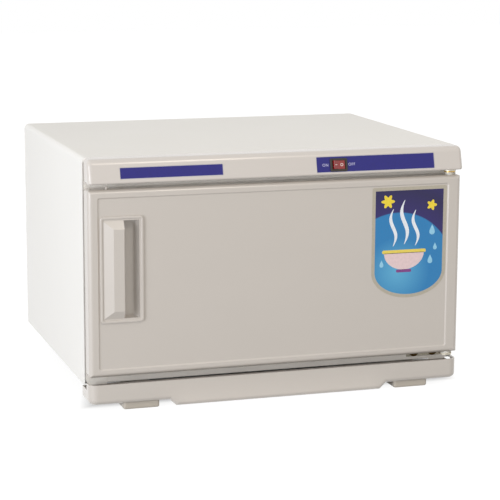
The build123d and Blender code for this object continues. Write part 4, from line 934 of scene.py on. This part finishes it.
class CABINET_OT_sticker(Operator):
    """Printed shield at the upper right of the door"""
    bl_idname = "cabinet.sticker"
    bl_label = "Door Sticker"

    def execute(self, context):
        sticker = context.scene.cabinet_sticker
        height = sticker.straight + sticker.depth
        middle = Vector((DOOR_HIGH.x - sticker.right_inset - sticker.width / 2, DOOR_LOW.y + PANEL_DEPTH,
                         DOOR_HIGH.z - sticker.top_inset - height / 2))
        place = on_surface(middle, Vector((0.0, -1.0, 0.0)), Vector((0.0, 0.0, 1.0)))
        inner = shield(sticker, sticker.border)
        bm = add_band(bmesh.new(), shield(sticker), inner, 0.0, 0.16 * MM)
        piece_from("sticker_border", bm, print_ink("sticker_border", sticker.paper, 0.34), "door", place)
        bm = add_slab(bmesh.new(), inner, 0.0, 0.14 * MM)
        piece_from("sticker_field", bm, sticker_print(sticker), "door", place)
        self.motifs(place)
        return {"FINISHED"}

    def motifs(self, place):
        """Steam over a bowl, blossoms and drops in millimetres, each printed a little above the field."""
        layer = 0.13 * MM
        top = 0.17 * MM
        prints = (
            ("sticker_steam", srgb(236, 240, 244), [
                steam((-20, -4), 44, 3.4, 4.6), steam((-6, -2), 52, 3.8, 5.2), steam((8, -4), 42, 3.4, 4.6)]),
            ("sticker_bowl", srgb(232, 206, 206), [arc((-6, -12), (25, 20), 180, 360, 30)]),
            ("sticker_bowl_rim", srgb(238, 214, 96), [moved(rounded(55, 4.2, 2), -6, -10.5)]),
            ("sticker_bowl_foot", srgb(126, 62, 130), [moved(rounded(19, 3.6, 1.4), -6, -33.5)]),
            ("sticker_blossoms", srgb(242, 214, 60), [blossom((-27, 49), 8.5, 6), blossom((28, 43), 6.5, 5)]),
            ("sticker_drops", srgb(150, 206, 232), [
                drop((29, 14), 6.2), drop((33, -6), 4.2), drop((27, -21), 5.4), drop((-34, -24), 4.4)]),
        )
        for name, shade, outlines in prints:
            bm = bmesh.new()
            for outline in outlines:
                add_slab(bm, [(x * MM, y * MM) for x, y in outline], layer, top)
            piece_from(name, bm, print_ink(name, shade), "door", place)


class CABINET_OT_stage(Operator):
    """Plain floor, soft lamps, pale surround and the camera"""
    bl_idname = "cabinet.stage"
    bl_label = "Studio"

    def execute(self, context):
        studio = context.scene.cabinet_studio
        self.floor()
        self.surround(context.scene, studio.sky)
        self.lamp("side_lamp", SIDE_LAMP_PLACE, 1.3, studio.side_lamp, srgb(241, 246, 255))
        self.lamp("top_lamp", TOP_LAMP_PLACE, 0.2, studio.top_lamp, srgb(255, 244, 226))
        self.camera(context.scene, studio)
        return {"FINISHED"}

    def floor(self):
        """Plain pale sheet that the cabinet stands on."""
        bm = bmesh.new()
        bmesh.ops.create_grid(bm, x_segments=1, y_segments=1, size=FLOOR_REACH)
        mesh = bpy.data.meshes.new("floor")
        bm.to_mesh(mesh)
        bm.free()
        mesh.materials.append(studio_paper("floor_paper", srgb(178, 177, 175), CASING_LOW, CASING_HIGH))
        floor = bpy.data.objects.new("floor", mesh)
        bpy.context.scene.collection.objects.link(floor)

    def surround(self, scene, strength):
        """Plain pale world that shows as white behind the object and in its gloss."""
        world = bpy.data.worlds.new("surround")
        scene.world = world
        world.use_nodes = True
        nodes = world.node_tree.nodes
        links = world.node_tree.links
        background = nodes["Background"]
        background.inputs["Color"].default_value = (1.0, 1.0, 1.0, 1.0)
        ray = nodes.new("ShaderNodeLightPath")
        seen = ray.outputs["Is Camera Ray"]
        for kind in ("Is Glossy Ray", "Is Transmission Ray"):
            either = nodes.new("ShaderNodeMath")
            either.operation = "MAXIMUM"
            links.new(seen, either.inputs[0])
            links.new(ray.outputs[kind], either.inputs[1])
            seen = either.outputs[0]
        level = nodes.new("ShaderNodeMapRange")
        level.inputs["To Min"].default_value = strength
        level.inputs["To Max"].default_value = 1.0
        links.new(seen, level.inputs["Value"])
        links.new(level.outputs[0], background.inputs["Strength"])

    def lamp(self, name, place, size, power, tone):
        """Round soft lamp turned towards the cabinet."""
        light = bpy.data.lights.new(name, "AREA")
        light.shape = "DISK"
        light.size = size
        light.energy = power
        light.color = tone
        lamp = bpy.data.objects.new(name, light)
        lamp.location = place
        lamp.rotation_euler = (LAMP_TARGET - place).to_track_quat("-Z", "Y").to_euler()
        bpy.context.scene.collection.objects.link(lamp)

    def camera(self, scene, studio):
        """Camera at the place and turn that the settings give."""
        data = bpy.data.cameras.new("camera")
        data.lens = studio.lens
        data.sensor_width = 36.0
        forward = Vector((math.sin(studio.yaw) * math.cos(studio.pitch),
                          math.cos(studio.yaw) * math.cos(studio.pitch), -math.sin(studio.pitch)))
        level = Vector((math.cos(studio.yaw), -math.sin(studio.yaw), 0.0))
        up = level.cross(forward)
        across = level * math.cos(studio.roll) + up * math.sin(studio.roll)
        upright = up * math.cos(studio.roll) - level * math.sin(studio.roll)
        turn = Matrix((across, upright, -forward)).transposed()
        camera = bpy.data.objects.new("camera", data)
        camera.matrix_world = Matrix.Translation(Vector(studio.place)) @ turn.to_4x4()
        scene.collection.objects.link(camera)
        scene.camera = camera
        scene.view_settings.view_transform = "Standard"


OPERATORS = (
    CABINET_OT_steel_panels,
    CABINET_OT_mouldings,
    CABINET_OT_chamber,
    CABINET_OT_wiring,
    CABINET_OT_hinges,
    CABINET_OT_screws,
    CABINET_OT_plates,
    CABINET_OT_switch,
    CABINET_OT_sticker,
    CABINET_OT_stage,
)
GROUPS = (
    ("cabinet_finish", CabinetFinish),
    ("cabinet_sticker", CabinetSticker),
    ("cabinet_plates", CabinetPlates),
    ("cabinet_studio", CabinetStudio),
)


class CABINET_PT_panel(Panel):
    """Lists the cabinet's pieces and their settings"""
    bl_idname = "CABINET_PT_panel"
    bl_label = "Hot Towel Cabinet"
    bl_space_type = "VIEW_3D"
    bl_region_type = "UI"
    bl_category = "Cabinet"

    def draw(self, context):
        for operator in OPERATORS:
            self.layout.operator(operator.bl_idname)
        for name, group in GROUPS:
            settings = self.layout.box()
            settings.label(text=group.__name__)
            for key in group.__annotations__:
                settings.prop(getattr(context.scene, name), key)


def register():
    for name, group in GROUPS:
        bpy.utils.register_class(group)
        setattr(bpy.types.Scene, name, PointerProperty(type=group))
    for item in (*OPERATORS, CABINET_PT_panel):
        bpy.utils.register_class(item)


def unregister():
    for item in (CABINET_PT_panel, *reversed(OPERATORS)):
        bpy.utils.unregister_class(item)
    for name, group in reversed(GROUPS):
        delattr(bpy.types.Scene, name)
        bpy.utils.unregister_class(group)


def run(operator):
    """Calls one operator by its name."""
    family, name = operator.bl_idname.split(".")
    getattr(getattr(bpy.ops, family), name)()


def main():
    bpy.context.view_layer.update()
    register()
    for operator in OPERATORS:
        run(operator)
    bpy.context.view_layer.update()


if __name__ == "__main__":
    main()
